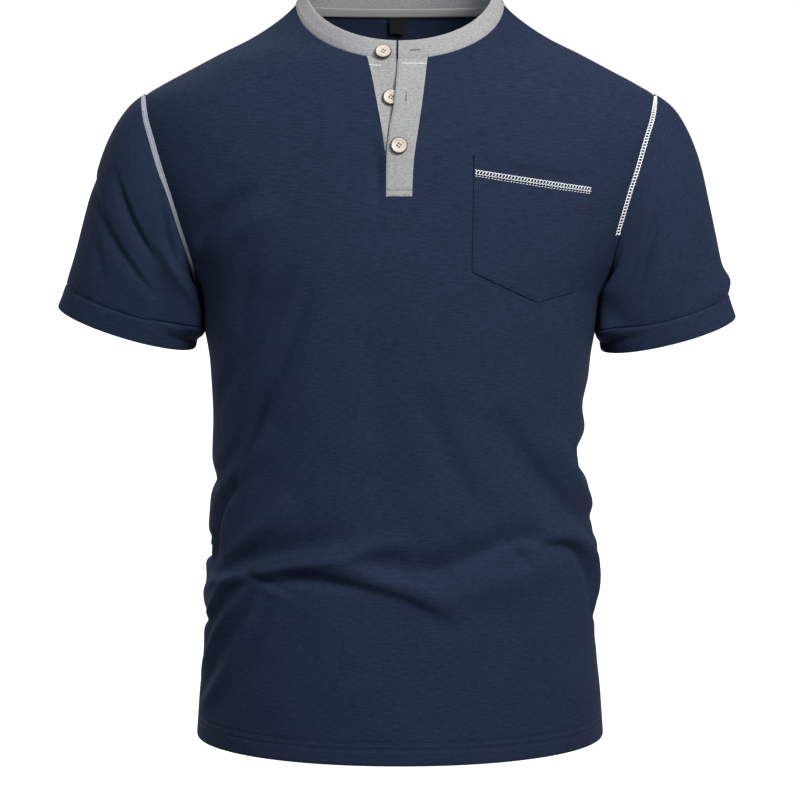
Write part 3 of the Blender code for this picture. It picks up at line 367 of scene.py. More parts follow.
SLEEVE_FOLDS = {
    "sleeve_right": [
        Fold(-0.015, 0.088, 0.062, 0.108, 0.118, 0.122, 0.0065, -0.0036, 0.4),
        Fold(0.045, 0.062, 0.080, 0.075, 0.110, 0.082, 0.0065, -0.0046, 0.4),
        Fold(0.108, 0.066, 0.120, 0.112, 0.126, 0.172, 0.0090, -0.0042, 0.0),
        Fold(0.092, 0.004, 0.112, 0.033, 0.130, 0.066, 0.0080, -0.0038, 0.0),
        Fold(0.116, 0.042, 0.134, 0.080, 0.156, 0.112, 0.0080, 0.0030, 0.0),
        Fold(0.044, 0.115, 0.058, 0.135, 0.074, 0.152, 0.0055, -0.0018, 0.3),
        Fold(-0.030, 0.080, -0.060, 0.120, -0.120, 0.160, 0.0095, -0.0045, -0.3),
        Fold(-0.070, 0.050, -0.110, 0.085, -0.160, 0.125, 0.0095, -0.0045, -0.3),
    ],
    "sleeve_left": [
        Fold(0.080, 0.058, 0.108, 0.081, 0.138, 0.150, 0.0085, -0.0040, -0.2),
        Fold(0.150, 0.070, 0.140, 0.120, 0.130, 0.160, 0.0090, -0.0040, 0.0),
        Fold(-0.065, 0.163, 0.000, 0.171, 0.060, 0.167, 0.0105, 0.0058, 0.0),
        Fold(-0.035, 0.080, -0.070, 0.120, -0.130, 0.160, 0.0095, -0.0045, -0.3),
        Fold(-0.080, 0.050, -0.115, 0.085, -0.165, 0.120, 0.0095, -0.0045, -0.3),
    ],
}

# ---- Counts of faces ----
SHOULDER_COLUMNS = 50
NECK_COLUMNS = 44
OPENING_COLUMNS = 5
BODY_ROWS = 168
ARMHOLE_STEPS = 52
PATH_STEPS = 20
SLEEVE_ROWS = 64
CUFF_ROWS = 14


def smooth_through(xs, ys, x):
    """A curve through the points (xs, ys) that never overshoots them, read at x."""
    xs, ys = np.asarray(xs, float), np.asarray(ys, float)
    gap, rise = np.diff(xs), np.diff(ys)
    slope = rise / gap
    tangent = np.concatenate([[slope[0]], np.zeros(len(xs) - 2), [slope[-1]]])
    same_way = slope[:-1] * slope[1:] > 0
    left_weight = 2 * gap[1:] + gap[:-1]
    right_weight = gap[1:] + 2 * gap[:-1]
    safe = [np.where(same_way, part, 1.0) for part in (slope[:-1], slope[1:])]
    mean = (left_weight + right_weight) / (left_weight / safe[0] + right_weight / safe[1])
    tangent[1:-1] = np.where(same_way, mean, 0.0)
    x = np.clip(x, xs[0], xs[-1])
    i = np.clip(np.searchsorted(xs, x) - 1, 0, len(gap) - 1)
    s = (x - xs[i]) / gap[i]
    return (
        ys[i] * (1 + 2 * s) * (1 - s) ** 2
        + ys[i + 1] * s * s * (3 - 2 * s)
        + gap[i] * (tangent[i] * s * (1 - s) ** 2 - tangent[i + 1] * s * s * (1 - s))
    )


def column(table, name, height):
    """One column of a table of named rows, read at a height."""
    return smooth_through([row.height for row in table], [getattr(row, name) for row in table], height)


def ease(x):
    """0 up to 0, 1 from 1, and smooth between."""
    x = np.clip(x, 0.0, 1.0)
    return x * x * (3 - 2 * x)


def bump_at(x, middle, width):
    """1 at the middle, falling off smoothly over the width."""
    return np.exp(-(((x - middle) / width) ** 2))


def bumps(x, middles, width):
    """Several such bumps added up."""
    return sum(bump_at(x, middle, width) for middle in middles)


def unit(vectors):
    return vectors / (np.linalg.norm(vectors, axis=-1, keepdims=True) + 1e-12)


# ---- The form ----


def reference_quarter():
    """Angles of a typical quarter oval and the share of its length up to each."""
    angle = np.linspace(0, math.pi / 2, 400)
    power = 2 / 2.3
    x = 0.187 * np.sin(angle) ** power
    y = 0.119 * np.clip(np.cos(angle), 0, 1) ** power
    along = np.concatenate([[0], np.cumsum(np.hypot(np.diff(x), np.diff(y)))])
    return angle, along / along[-1]


QUARTER_ANGLES, QUARTER_SHARES = reference_quarter()
QUARTER = 0.25


def depth_of(height, side):
    return column(DEPTHS, "front" if side < 0 else "back", height)


def form_point(turn, height, side):
    """A point on the form. turn is 0 at the centre and 1 or -1 at the sides, and side is -1 in front."""
    angle = np.interp(np.abs(turn), QUARTER_SHARES, QUARTER_ANGLES)
    power = 2 / column(DEPTHS, "square", height)
    x = np.sign(turn) * column(WIDTHS, "half", height) * np.sin(angle) ** power
    y = side * depth_of(height, side) * np.clip(np.cos(angle), 0, 1) ** power
    return np.stack([x, y, height + 0 * x], -1)


def turn_at(across, height):
    """The turn at which the form's oval at that height is that far across."""
    ratio = np.clip(np.abs(across) / column(WIDTHS, "half", height), 0, 1)
    angle = np.arcsin(ratio ** (column(DEPTHS, "square", height) / 2))
    return np.sign(across) * np.interp(angle, QUARTER_ANGLES, QUARTER_SHARES)


def outside(point, side):
    """Under 1 inside the form's oval and over 1 outside it."""
    x, y, z = point[..., 0], point[..., 1], point[..., 2]
    power = column(DEPTHS, "square", z)
    return (np.abs(x) / column(WIDTHS, "half", z)) ** power + (np.abs(y) / depth_of(z, side)) ** power


def form_normal(point, side):
    """Unit normals of the form, the same for front and back where those meet."""
    step = 0.0005
    parts = [outside(point + way, side) - outside(point - way, side) for way in step * np.eye(3)]
    return unit(np.stack(parts, -1))


def normal_at(turn, height, side):
    """The form's unit normals, by turn and height."""
    return form_normal(form_point(turn, height, side), side)


# ---- Folds ----


def fold_path(fold):
    """Points along the curve through a fold's three points."""
    start, middle, end = np.array(fold[:6]).reshape(3, 2)
    s = np.linspace(0, 1, PATH_STEPS + 1)[:, None]
    return start * (1 - s) * (1 - 2 * s) + middle * 4 * s * (1 - s) + end * s * (2 * s - 1)


def fold_rise(fold, around, height):
    """How far one fold lifts the cloth at each place."""
    path = fold_path(fold)
    result = np.zeros(around.shape)
    reach = 4 * fold.width
    low, high = path.min(0) - reach, path.max(0) + reach
    near = (around > low[0]) & (around < high[0]) & (height > low[1]) & (height < high[1])
    if not near.any():
        return result
    place = np.stack([around[near], height[near]], -1)
    nearest = np.full(len(place), np.inf)
    offset = np.zeros(len(place))
    along = np.zeros(len(place))
    for k in range(PATH_STEPS):
        step = path[k + 1] - path[k]
        away = place - path[k]
        s = np.clip(away @ step / (step @ step), 0, 1)
        gap = away - s[..., None] * step
        distance = np.linalg.norm(gap, axis=-1)
        closer = distance < nearest
        side = np.sign(step[0] * away[..., 1] - step[1] * away[..., 0])
        nearest = np.where(closer, distance, nearest)
        offset = np.where(closer, distance * side, offset)
        along = np.where(closer, (k + s) / PATH_STEPS, along)
    width = fold.width * (1 + fold.lean * np.tanh(offset / fold.width))
    result[near] = fold.rise * np.sin(math.pi * along) ** 0.7 * np.exp(-((offset / width) ** 2))
    return result


def ripple(around, height):
    """The cloth's slight unevenness between its folds."""
    slow = np.sin(31 * around + 17 * height + 1.0) * np.sin(23 * height - 9 * around + 0.4)
    quick = np.sin(83 * around - 41 * height) * np.sin(67 * height + 29 * around + 2.0)
    return 0.0007 * slow + 0.0003 * quick


def body_around(turn, side):
    """Metres round from the front centre, as the folds count them."""
    return QUARTER * (turn if side < 0 else np.where(turn < 0, -2 - turn, 2 - turn))


def body_lift(turn, height, side):
    """How far the folds lift the body's cloth."""
    around = body_around(turn, side)
    full = 4 * QUARTER
    lift = np.zeros(np.broadcast(turn, height).shape)
    height = height + lift
    around = around + lift
    for fold in BODY_FOLDS:
        for shift in (0.0, -full, full):
            lift = lift + fold_rise(fold, around + shift, height)
    lift = lift + ripple(np.abs(around), height)
    flat_by_seams = ease((height - HEM) / 0.05)
    flat_by_neck = 1 - ease((height + 0.15) / 0.07)
    return lift * flat_by_seams * flat_by_neck


def cloth_point(turn, height, side, level=0.0):
    """A point on the body's cloth, lifted by its folds and by level."""
    base = form_point(turn, height, side)
    lift = body_lift(turn, height, side) + level
    return base + form_normal(base, side) * lift[..., None]


# ---- Grids of the panels ----


def armhole_across(height):
    """Half distance between the armhole seams at a height."""
    return column(ARMHOLE, "across", height)


def edge_turn(height):
    """The turn of a panel's side edge: the side seam, and above it the armhole."""
    at_armhole = turn_at(armhole_across(height), height)
    inside = (height > UNDERARM + 1e-6) & (height < SHOULDER_TIP - 1e-6)
    return np.where(inside, at_armhole, 1.0)


def neckline_height(across, drop):
    return NECK_POINT - drop * np.sqrt(np.clip(1 - (across / NECK_HALF_WIDTH) ** 2, 0, 1))


def top_edge(drop):
    """Across and height of a panel's top edge: neckline near the centre, then the shoulder seam."""
    on_neck = NECK_HALF_WIDTH * np.sin(np.arange(NECK_COLUMNS + 1) / NECK_COLUMNS * math.pi / 2)
    out = np.arange(1, SHOULDER_COLUMNS + 1) / SHOULDER_COLUMNS
    tip = column(WIDTHS, "half", SHOULDER_TIP)
    on_shoulder = NECK_HALF_WIDTH + out * (tip - NECK_HALF_WIDTH)
    heights = np.linspace(SHOULDER_TIP, NECK_POINT, 400)
    ridge = np.interp(on_shoulder, column(WIDTHS, "half", heights)[::-1], heights[::-1])
    across = np.concatenate([on_neck, on_shoulder])
    height = np.concatenate([neckline_height(on_neck, drop), ridge])
    return np.concatenate([-across[:0:-1], across]), np.concatenate([height[:0:-1], height])


def row_heights():
    """Heights of a panel's rows below the underarm: closer together at the hem and the waist folds."""
    share = np.linspace(0, 1, 600)
    height = HEM + (UNDERARM - HEM) * share
    crowding = 1 + 1.2 * bump_at(height, -0.53, 0.06) + 2.5 * bump_at(height, HEM + 0.010, 0.016)
    along = np.concatenate([[0], np.cumsum(crowding[1:] + crowding[:-1])])
    return np.interp(np.linspace(0, 1, BODY_ROWS + 1), along / along[-1], height)


def panel_domain(side):
    """Turn and height of each grid point of the front or back."""
    drop = NECK_FRONT_DROP if side < 0 else NECK_BACK_DROP
    columns = 2 * (NECK_COLUMNS + SHOULDER_COLUMNS)
    share = np.linspace(-1, 1, columns + 1)[None, :]
    low = row_heights()[:, None] + 0 * share
    low_turn = share + 0 * low
    rise = (1 - np.cos(np.linspace(0, math.pi, ARMHOLE_STEPS + 1)[1:, None])) / 2
    top_across, top_height = top_edge(drop)
    high = UNDERARM + (top_height - UNDERARM) * rise
    side_height = UNDERARM + (SHOULDER_TIP - UNDERARM) * rise
    even_turn = share * edge_turn(side_height)
    spread = ease(rise) * top_across + (1 - ease(rise)) * share * armhole_across(side_height)
    spread_turn = turn_at(spread, high)
    mix = ease(rise * 1.25)
    high_turn = (1 - mix) * even_turn + mix * spread_turn
    high_turn[:, 0], high_turn[:, -1] = -edge_turn(side_height)[:, 0], edge_turn(side_height)[:, 0]
    turn = np.concatenate([low_turn, high_turn])
    height = np.concatenate([low, high])
    if side < 0:
        line_up_with_opening(turn, height)
    return turn, height


def line_up_with_opening(turn, height):
    """Moves columns onto the front opening's edges, and one row onto its lower end."""
    middle = turn.shape[1] // 2
    row = int(np.argmin(np.abs(height[:, middle] - OPENING_BOTTOM)))
    rows = np.arange(len(height))[:, None]
    off = np.abs(np.arange(turn.shape[1]) - middle)[None, :]
    shift = OPENING_BOTTOM - height[row, middle]
    height += shift * bump_at(rows, row, 8.0) * bump_at(np.clip(off - 8, 0, None), 0, 25.0)
    for way, name in ((-1, "sewn_right"), (1, "sewn_left")):
        edge = middle + way * OPENING_COLUMNS
        level = height[:, edge].copy()
        for _ in range(4):  # the top row's height depends on how far across it is
            level[-1] = neckline_height(column(OPENING, name, level[-1]), NECK_FRONT_DROP)
        target = turn_at(column(OPENING, name, level), level)
        move = (target - turn[:, edge]) * ease((level - OPENING_BOTTOM + 0.08) / 0.08)
        steps = np.arange(1, middle // 2)
        grow = steps / OPENING_COLUMNS
        fade = 1 - (steps - OPENING_COLUMNS) / (middle // 2 - OPENING_COLUMNS)
        weight = np.where(steps <= OPENING_COLUMNS, grow, ease(fade))
        turn[:, middle + way * steps] += move[:, None] * weight
    on_neck = slice(middle - NECK_COLUMNS, middle + NECK_COLUMNS + 1)
    across = form_point(turn[-1, on_neck], height[-1, on_neck], -1)[:, 0]
    height[-1, on_neck] = neckline_height(across, NECK_FRONT_DROP)
    turn[-1, on_neck] = turn_at(across, height[-1, on_neck])


# ---- Meshes ----


def add_mesh(name, points, faces, material, coordinates=None, smooth=True):
    """A mesh object from points and faces, with a UV map in metres when coordinates are given."""
    mesh = bpy.data.meshes.new(name)
    mesh.from_pydata(np.asarray(points).tolist(), [], faces)
    mesh.validate()
    if coordinates is not None:
        layer = mesh.uv_layers.new(name="Cloth")
        corner = np.zeros(len(mesh.loops), int)
        mesh.loops.foreach_get("vertex_index", corner)
        layer.uv.foreach_set("vector", np.asarray(coordinates)[corner].ravel().astype(np.float32))
    if smooth:
        mesh.shade_smooth()
        mesh.set_sharp_from_angle(angle=math.radians(55))
    made = bpy.data.objects.new(name, mesh)
    mesh.materials.append(material)
    bpy.context.scene.collection.objects.link(made)
    return made


def wall(name, inner, outer, material, coordinates, keep=None):
    """A closed wall between two grids of points. keep says which of the grid's squares are cloth."""
    rows, columns = inner.shape[:2]
    if keep is None:
        keep = np.ones((rows - 1, columns - 1), bool)
    size = rows * columns
    index = np.arange(size).reshape(rows, columns)
    squares = np.stack([index[:-1, :-1], index[:-1, 1:], index[1:, 1:], index[1:, :-1]], -1)[keep]
    starts = squares.reshape(-1)
    ends = np.roll(squares, -1, axis=1).reshape(-1)
    key = starts * size + ends
    rim = ~np.isin(key, ends * size + starts)
    a, b = starts[rim], ends[rim]
    rims = np.stack([a, b, b + size, a + size], -1)
    faces = np.concatenate([squares + size, squares[:, ::-1], rims])
    used = np.zeros(2 * size, bool)
    used[faces.ravel()] = True
    new = np.cumsum(used) - 1
    points = np.concatenate([inner.reshape(-1, 3), outer.reshape(-1, 3)])[used]
    flat = coordinates.reshape(-1, 2)
    made = add_mesh(name, points, new[faces].tolist(), material, np.concatenate([flat, flat])[used])
    shape = bmesh.new()
    shape.from_mesh(made.data)
    if shape.calc_volume(signed=True) < 0:
        bmesh.ops.reverse_faces(shape, faces=shape.faces)
        shape.to_mesh(made.data)
    shape.free()
    return made


def put_together(name, parts, material):
    """One mesh from many (points, faces) parts."""
    faces, base = [], 0
    for points, part_faces in parts:
        faces += [[corner + base for corner in face] for face in part_faces]
        base += len(points)
    return add_mesh(name, np.concatenate([points for points, _ in parts]), faces, material)


# ---- Strips of cloth surface, on which threads are laid ----

Strip = namedtuple("Strip", "points normals along across")
FORWARD = np.array((0.0, -1.0, 0.0))
LEVEL_PARTS = np.array((1.0, 1.0, 0.0))


def make_strip(points, across, outward):
    """A grid of points [across][along] with its measures, and its normals turned to the outward side."""
    points, across = np.asarray(points), np.asarray(across, float)
    normals = unit(np.cross(np.gradient(points, axis=1), np.gradient(points, axis=0)))
    normals = normals * np.sign(np.sum(normals * outward, axis=-1).mean())
    steps = np.linalg.norm(np.diff(points[len(across) // 2], axis=0), axis=-1)
    return Strip(points, normals, np.concatenate([[0], np.cumsum(steps)]), across)


def on_strip(strip, along, across, level):
    """Points at a distance along and across a strip, lifted off it, and the strip's normals there."""
    column_at = np.interp(along, strip.along, np.arange(len(strip.along)))
    row_at = np.interp(across, strip.across, np.arange(len(strip.across)))
    i = np.clip(row_at.astype(int), 0, len(strip.across) - 2)
    j = np.clip(column_at.astype(int), 0, len(strip.along) - 2)
    s, t = (row_at - i)[..., None], (column_at - j)[..., None]

    def mixed(grid):
        low = grid[i, j] * (1 - t) + grid[i, j + 1] * t
        high = grid[i + 1, j] * (1 - t) + grid[i + 1, j + 1] * t
        return low * (1 - s) + high * s

    normal = mixed(strip.normals)
    return mixed(strip.points) + normal * np.asarray(level)[..., None], normal


def tubes(points, normals, radius):
    """Closed tubes along paths [path][step]: thinner at their ends, and a little flat against the cloth."""
    count, steps = points.shape[:2]
    way = unit(np.gradient(points, axis=1))
    beside = unit(np.cross(way, normals))
    angle = np.arange(THREAD_SIDES) / THREAD_SIDES * 2 * math.pi
    wide, high = np.cos(angle)[:, None], THREAD_FLATNESS * np.sin(angle)[:, None]
    ring = beside[:, :, None] * wide + np.cross(beside, way)[:, :, None] * high
    size = np.full(steps, radius)
    size[[0, -1]] *= THREAD_TAPER
    tube = points[:, :, None] + ring * size[:, None, None]
    index = np.arange(tube.size // 3).reshape(count, steps, THREAD_SIDES)
    beyond = np.roll(index, -1, 2)
    quads = np.stack([index[:, :-1], beyond[:, :-1], beyond[:, 1:], index[:, 1:]], -1).reshape(-1, 4)
    return tube.reshape(-1, 3), quads.tolist() + index[:, 0, ::-1].tolist() + index[:, -1].tolist()


def lay(strip, along, across, level, radius):
    """Threads over a strip, as a list of one part, from arrays [path][step] of where they go."""
    return [tubes(*on_strip(strip, along, across, level), radius)]


def topstitch(strip, across, stitch, end=None):
    """A row of stitches along a strip."""
    end = end or strip.along[-1]
    count = max(int(end / stitch.pitch), 1)
    steps = np.linspace(0.5 - stitch.length / 2, 0.5 + stitch.length / 2, 4)
    at = (np.arange(count)[:, None] + steps) * (end / count)
    level = np.array([-THREAD_DIP, stitch.lift, stitch.lift, -THREAD_DIP]) + 0 * at
    return lay(strip, at, across + 0 * at, level, stitch.radius)


def chain_along(strip, across, chain, end):
    """A thread that runs on along a strip, slightly wavy as a chain of loops is."""
    at = np.linspace(0, end, max(int(end / LOOP * 4), 8))[None, :]
    turn = at / LOOP * 2 * math.pi
    side, level = across + chain.wave * np.sin(turn), LOOP_LIFT + LOOP_RISE * np.cos(2 * turn)
    return lay(strip, at, side, level, chain.radius)


def rungs(strip, rung, start, end):
    """Threads across a strip from one edge line to the other, each leaning along it by its slant."""
    count = max(int((end - start) / rung.pitch), 1)
    share = np.linspace(0, 1, 5)[None, :]
    middles = start + (np.arange(count)[:, None] + 0.5) * (end - start) / count
    at = middles + rung.slant * (share - 0.5)
    side = rung.low + (rung.high - rung.low) * share + 0 * at
    return lay(strip, at, side, rung.lift * (0.3 + np.sin(math.pi * share)) + 0 * at, rung.radius)


# ---- Materials ----


def add_node(tree, kind, inputs=None, **settings):
    """A node with its settings. Its inputs are plain values, or other nodes' outputs to link."""
    node = tree.nodes.new(kind)
    for key, value in settings.items():
        setattr(node, key, value)
    fill_inputs(node, inputs or {})
    return node


def fill_inputs(node, inputs):
    for key, value in inputs.items():
        if hasattr(value, "is_linked"):
            node.id_data.links.new(value, node.inputs[key])
        else:
            node.inputs[key].default_value = value


def new_material(name, on_cloth=False):
    """A material, its tree, its shader, and where a point lies: on its cloth, or in its object's space."""
    material = bpy.data.materials.new(name)
    material.use_nodes = True
    tree = material.node_tree
    if on_cloth:
        at = add_node(tree, "ShaderNodeUVMap", uv_map="Cloth").outputs["UV"]
    else:
        at = add_node(tree, "ShaderNodeTexCoord").outputs["Object"]
    return material, tree, tree.nodes["Principled BSDF"], at


def noise(tree, at, per_metre, detail):
    """Noise with so many cycles a metre along each axis."""
    mapping = add_node(tree, "ShaderNodeMapping", {"Vector": at, "Scale": per_metre})
    inputs = {"Vector": mapping.outputs["Vector"], "Scale": 1.0, "Detail": detail, "Roughness": 0.6}
    return add_node(tree, "ShaderNodeTexNoise", inputs).outputs["Fac"]


def bands(tree, at, direction, scale, distortion, detail=2.0, detail_scale=1.0):
    inputs = {"Vector": at, "Scale": scale, "Distortion": distortion}
    inputs.update({"Detail": detail, "Detail Scale": detail_scale})
    wave = add_node(tree, "ShaderNodeTexWave", inputs, wave_type="BANDS", bands_direction=direction)
    return wave.outputs["Fac"]


def blend_colours(tree, factor, first, second, kind="MIX"):
    """Mixes two colours, at the colour sockets of a mix node."""
    inputs = {0: factor, 6: first, 7: second}
    return add_node(tree, "ShaderNodeMix", inputs, data_type="RGBA", blend_type=kind).outputs[2]


def ranged(tree, value, low, high, start=0.0, end=1.0):
    """Maps value from low..high onto start..end, and no further."""
    inputs = {"Value": value, "From Min": low, "From Max": high, "To Min": start, "To Max": end}
    return add_node(tree, "ShaderNodeMapRange", inputs).outputs["Result"]


def calculated(tree, operation, first, second):
    return add_node(tree, "ShaderNodeMath", {0: first, 1: second}, operation=operation).outputs["Value"]


def weighted(tree, first, first_share, second, second_share):
    parts = [calculated(tree, "MULTIPLY", *pair) for pair in ((first, first_share), (second, second_share))]
    return calculated(tree, "ADD", *parts)


def add_bump(tree, shader, height, distance, strength):
    bump = add_node(tree, "ShaderNodeBump", {"Distance": distance, "Strength": strength, "Height": height})
    fill_inputs(shader, {"Normal": bump.outputs["Normal"]})


def tinted(colour, factor):
    return tuple(min(part * factor, 1.0) for part in colour[:3]) + (1.0,)


def make_jersey(name, colour, streak, contrast):
    """Knitted cotton, whose mixed yarns show as streaks (long, wide) along its rows of stitches."""
    material, tree, shader, at = new_material(name, on_cloth=True)
    long, wide = streak
    streaks = noise(tree, at, (1 / long, 1 / wide, 1.0), 2.5)
    fine = noise(tree, at, (1 / (long * 0.35), 1 / (wide * 0.5), 1.0), 2.0)
    yarns = weighted(tree, streaks, 0.6, fine, 0.4)
    cloudy = ranged(tree, noise(tree, at, (22.0, 30.0, 1.0), 2.0), 0.3, 0.7, 0.91, 1.0)
    dark, light = tinted(colour, 1 - contrast), tinted(colour, 1 + contrast)
    body = blend_colours(tree, ranged(tree, yarns, 0.34, 0.66), dark, light)
    wales = bands(tree, at, "X", 320.0, 1.2, 1.0, 2.0)
    add_bump(tree, shader, weighted(tree, wales, 0.35, yarns, 1.0), 0.0004, 0.55)
    fill_inputs(shader, {"Base Color": blend_colours(tree, 1.0, body, cloudy, "MULTIPLY")})
    fill_inputs(shader, {"Roughness": 0.92, "Specular IOR Level": 0.10})
    fill_inputs(shader, {"Sheen Weight": 0.05, "Sheen Roughness": 0.45, "Sheen Tint": tinted(colour, 3.0)})
    return material


def make_thread(name, colour):
    """Twisted sewing thread."""
    material, tree, shader, at = new_material(name)
    twist = noise(tree, at, (2600.0, 2600.0, 2600.0), 2.0)
    body = blend_colours(tree, ranged(tree, twist, 0.35, 0.65), tinted(colour, 0.82), tinted(colour, 1.08))
    add_bump(tree, shader, twist, 0.0001, 0.5)
    fill_inputs(shader, {"Base Color": body, "Roughness": 0.7, "Sheen Weight": 0.2})
    return material


def make_woven(name, colour, ends, picks, contrast, roughness):
    """A fine woven tape or label, with ends and picks to the metre."""
    material, tree, shader, at = new_material(name, on_cloth=True)
    warp, weft = (bands(tree, at, way, count / 6.283, 0.4) for way, count in (("X", ends), ("Y", picks)))
    weave = calculated(tree, "MULTIPLY", warp, weft)
    speck = noise(tree, at, (900.0, 1400.0, 1.0), 2.0)
    factor = weighted(tree, weave, 0.7, speck, 0.4)
    body = blend_colours(tree, factor, tinted(colour, 1 - contrast), tinted(colour, 1 + contrast))
    add_bump(tree, shader, weave, 0.0003, 0.7)
    fill_inputs(shader, {"Base Color": body, "Roughness": roughness})
    return material


def make_herringbone(name, dark, light, pitch, width):
    """A twill tape whose slanting ribs turn back along its middle. Its map is metres along and across it."""
    material, tree, shader, at = new_material(name, on_cloth=True)
    parts = add_node(tree, "ShaderNodeSeparateXYZ", {0: at})
    folded = calculated(tree, "PINGPONG", parts.outputs["Y"], width)
    slanted = weighted(tree, parts.outputs["X"], 1.0, folded, 0.9)
    cycle = calculated(tree, "SINE", calculated(tree, "MULTIPLY", slanted, 2 * math.pi / pitch), 0.0)
    speck = noise(tree, at, (1500.0, 1500.0, 1.0), 2.0)
    rib = ranged(tree, weighted(tree, cycle, 1.0, speck, 0.8), -0.4, 1.2)
    add_bump(tree, shader, rib, 0.0004, 0.8)
    body = blend_colours(tree, rib, dark, light)
    fill_inputs(shader, {"Base Color": body, "Roughness": 0.85, "Sheen Weight": 0.2})
    return material


def make_resin(name, dark, light, roughness):
    """Moulded resin with soft cloudy veins."""
    material, tree, shader, at = new_material(name)
    veins = noise(tree, at, (260.0, 620.0, 620.0), 4.0)
    grain = noise(tree, at, (1500.0, 1500.0, 1500.0), 2.0)
    dull = ranged(tree, grain, 0.3, 0.7, roughness - 0.08, roughness + 0.08)
    body = blend_colours(tree, ranged(tree, veins, 0.35, 0.68), dark, light)
    fill_inputs(shader, {"Base Color": body, "Roughness": dull})
    add_bump(tree, shader, veins, 0.0002, 0.15)
    return material


# ---- Pieces of cloth ----


def panel_coordinates(turn, height, side):
    return np.stack([body_around(turn, side) + 0 * height, height + 0 * turn], -1)


def make_panel(name, side, material):
    turn, height = panel_domain(side)
    columns = turn.shape[1] - 1
    keep = np.ones((len(turn) - 1, columns), bool)
    if side < 0:
        middle = columns // 2
        above = height[:-1, middle] > OPENING_BOTTOM - 1e-6
        keep[np.ix_(above, range(middle - OPENING_COLUMNS, middle + OPENING_COLUMNS))] = False
    surface = cloth_point(turn, height, side)
    normal = normal_at(turn, height, side)
    turned = HEM_TURN * (1 - ease((height - HEM - BODY_HEM_DEPTH) / 0.0015))
    line = bumps(height - HEM, HEM_STITCH_HEIGHTS, DENT_WIDTH)
    rounded = bump_at(height, HEM, DENT_WIDTH)
    outer_level = CLOTH - STITCH_DENT * line - SOFT_EDGE_ROUND * rounded
    inner_level = -turned + EDGE_ROUND * rounded
    inner = surface + normal * inner_level[..., None]
    outer = surface + normal * outer_level[..., None]
    return wall(name, inner, outer, material, panel_coordinates(turn, height, side), keep=keep)


def armhole_ring():
    """Turn, height and side of the points on an armhole, from the underarm up its back and down its front."""
    rise = (1 - np.cos(np.linspace(0, math.pi, ARMHOLE_STEPS + 1))) / 2
    up = UNDERARM + (SHOULDER_TIP - UNDERARM) * rise
    height = np.concatenate([up[:-1], up[::-1][:-1]])
    side = np.repeat([1.0, -1.0], ARMHOLE_STEPS)
    return edge_turn(height), height, side


def sleeve_curves(cuff):
    """The four control rings of a sleeve's curves, from the armhole to the cuff."""
    turn, height, side = armhole_ring()
    turn = turn * cuff.side
    level = CLOTH + SEAM_GAP + CLOTH / 2 + SLEEVE_RAISED
    front = cloth_point(turn, height, -1, level)
    back = cloth_point(turn, height, 1, level)
    start = np.where(side[:, None] < 0, front, back)
    angle = math.pi - np.arange(len(turn)) * math.pi / ARMHOLE_STEPS
    up, forward_share = (1 + np.cos(angle)) / 2, -np.sin(angle)
    leave = up[:, None] * LEAVE_AT_TOP + (1 - up[:, None]) * LEAVE_AT_FOOT
    leave[:, 1] -= LEAVE_FORWARD * forward_share
    leave = unit(leave)
    leave[:, 0] *= cuff.side
    centre, out, forward = (np.array(v) for v in (cuff.centre, cuff.outer, cuff.front))
    end = centre + np.cos(angle)[:, None] * out + forward_share[:, None] * forward
    arrive = unit(np.cross(out, forward)) * cuff.side
    length = np.linalg.norm(end - start, axis=1)[:, None]
    first = start + leave * length * (FULLNESS_BELOW + (cuff.crown - FULLNESS_BELOW) * up[:, None])
    last = end - arrive * length * FULLNESS_AT_CUFF
    last[:, 0] -= cuff.side * cuff.taper * up**2
    return start, first, last, end


def on_curves(curves, share):
    """Points of the sleeve's curves at shares [row][column] of their way."""
    start, first, last, end = curves
    s = share[..., None]
    return start * (1 - s) ** 3 + first * 3 * s * (1 - s) ** 2 + last * 3 * s * s * (1 - s) + end * s**3


def hem_shares(curves, depth):
    """For each curve, the share of its way at which its end is depth away."""
    fine = np.linspace(0, 1, 300)
    line = on_curves(curves, fine[:, None] + np.zeros(len(curves[0])))
    steps = np.linalg.norm(np.diff(line, axis=0), axis=-1)
    from_end = np.concatenate([np.cumsum(steps[::-1], axis=0)[::-1], np.zeros((1, steps.shape[1]))])
    return np.array([np.interp(-depth, -from_end[:, k], fine) for k in range(from_end.shape[1])])


def hug_body(cuff, rings, share):
    """Draws the inside of a sleeve towards the body, down to its hem."""
    x, y, z = (rings[..., k] for k in range(3))
    depth = np.where(y < 0, depth_of(z, -1), depth_of(z, 1))
    power = column(DEPTHS, "square", z)
    inside = np.clip(1 - (np.abs(y) / depth) ** power, 0, 1) ** (1 / power)
    gap = cuff.side * x - column(WIDTHS, "half", z) * inside - SLEEVE_CLEARANCE
    place = np.arange(rings.shape[1]) / rings.shape[1]
    inner = np.clip(np.abs(2 * place - 1), 0, 1)[None, :]
    weight = ease((inner - 0.55) / 0.30) * ease((share - 0.05) / 0.25) * (1 - ease((share - 0.73) / 0.13))
    moved = rings.copy()
    moved[..., 0] -= cuff.side * weight * np.clip(gap, 0, None)
    return moved


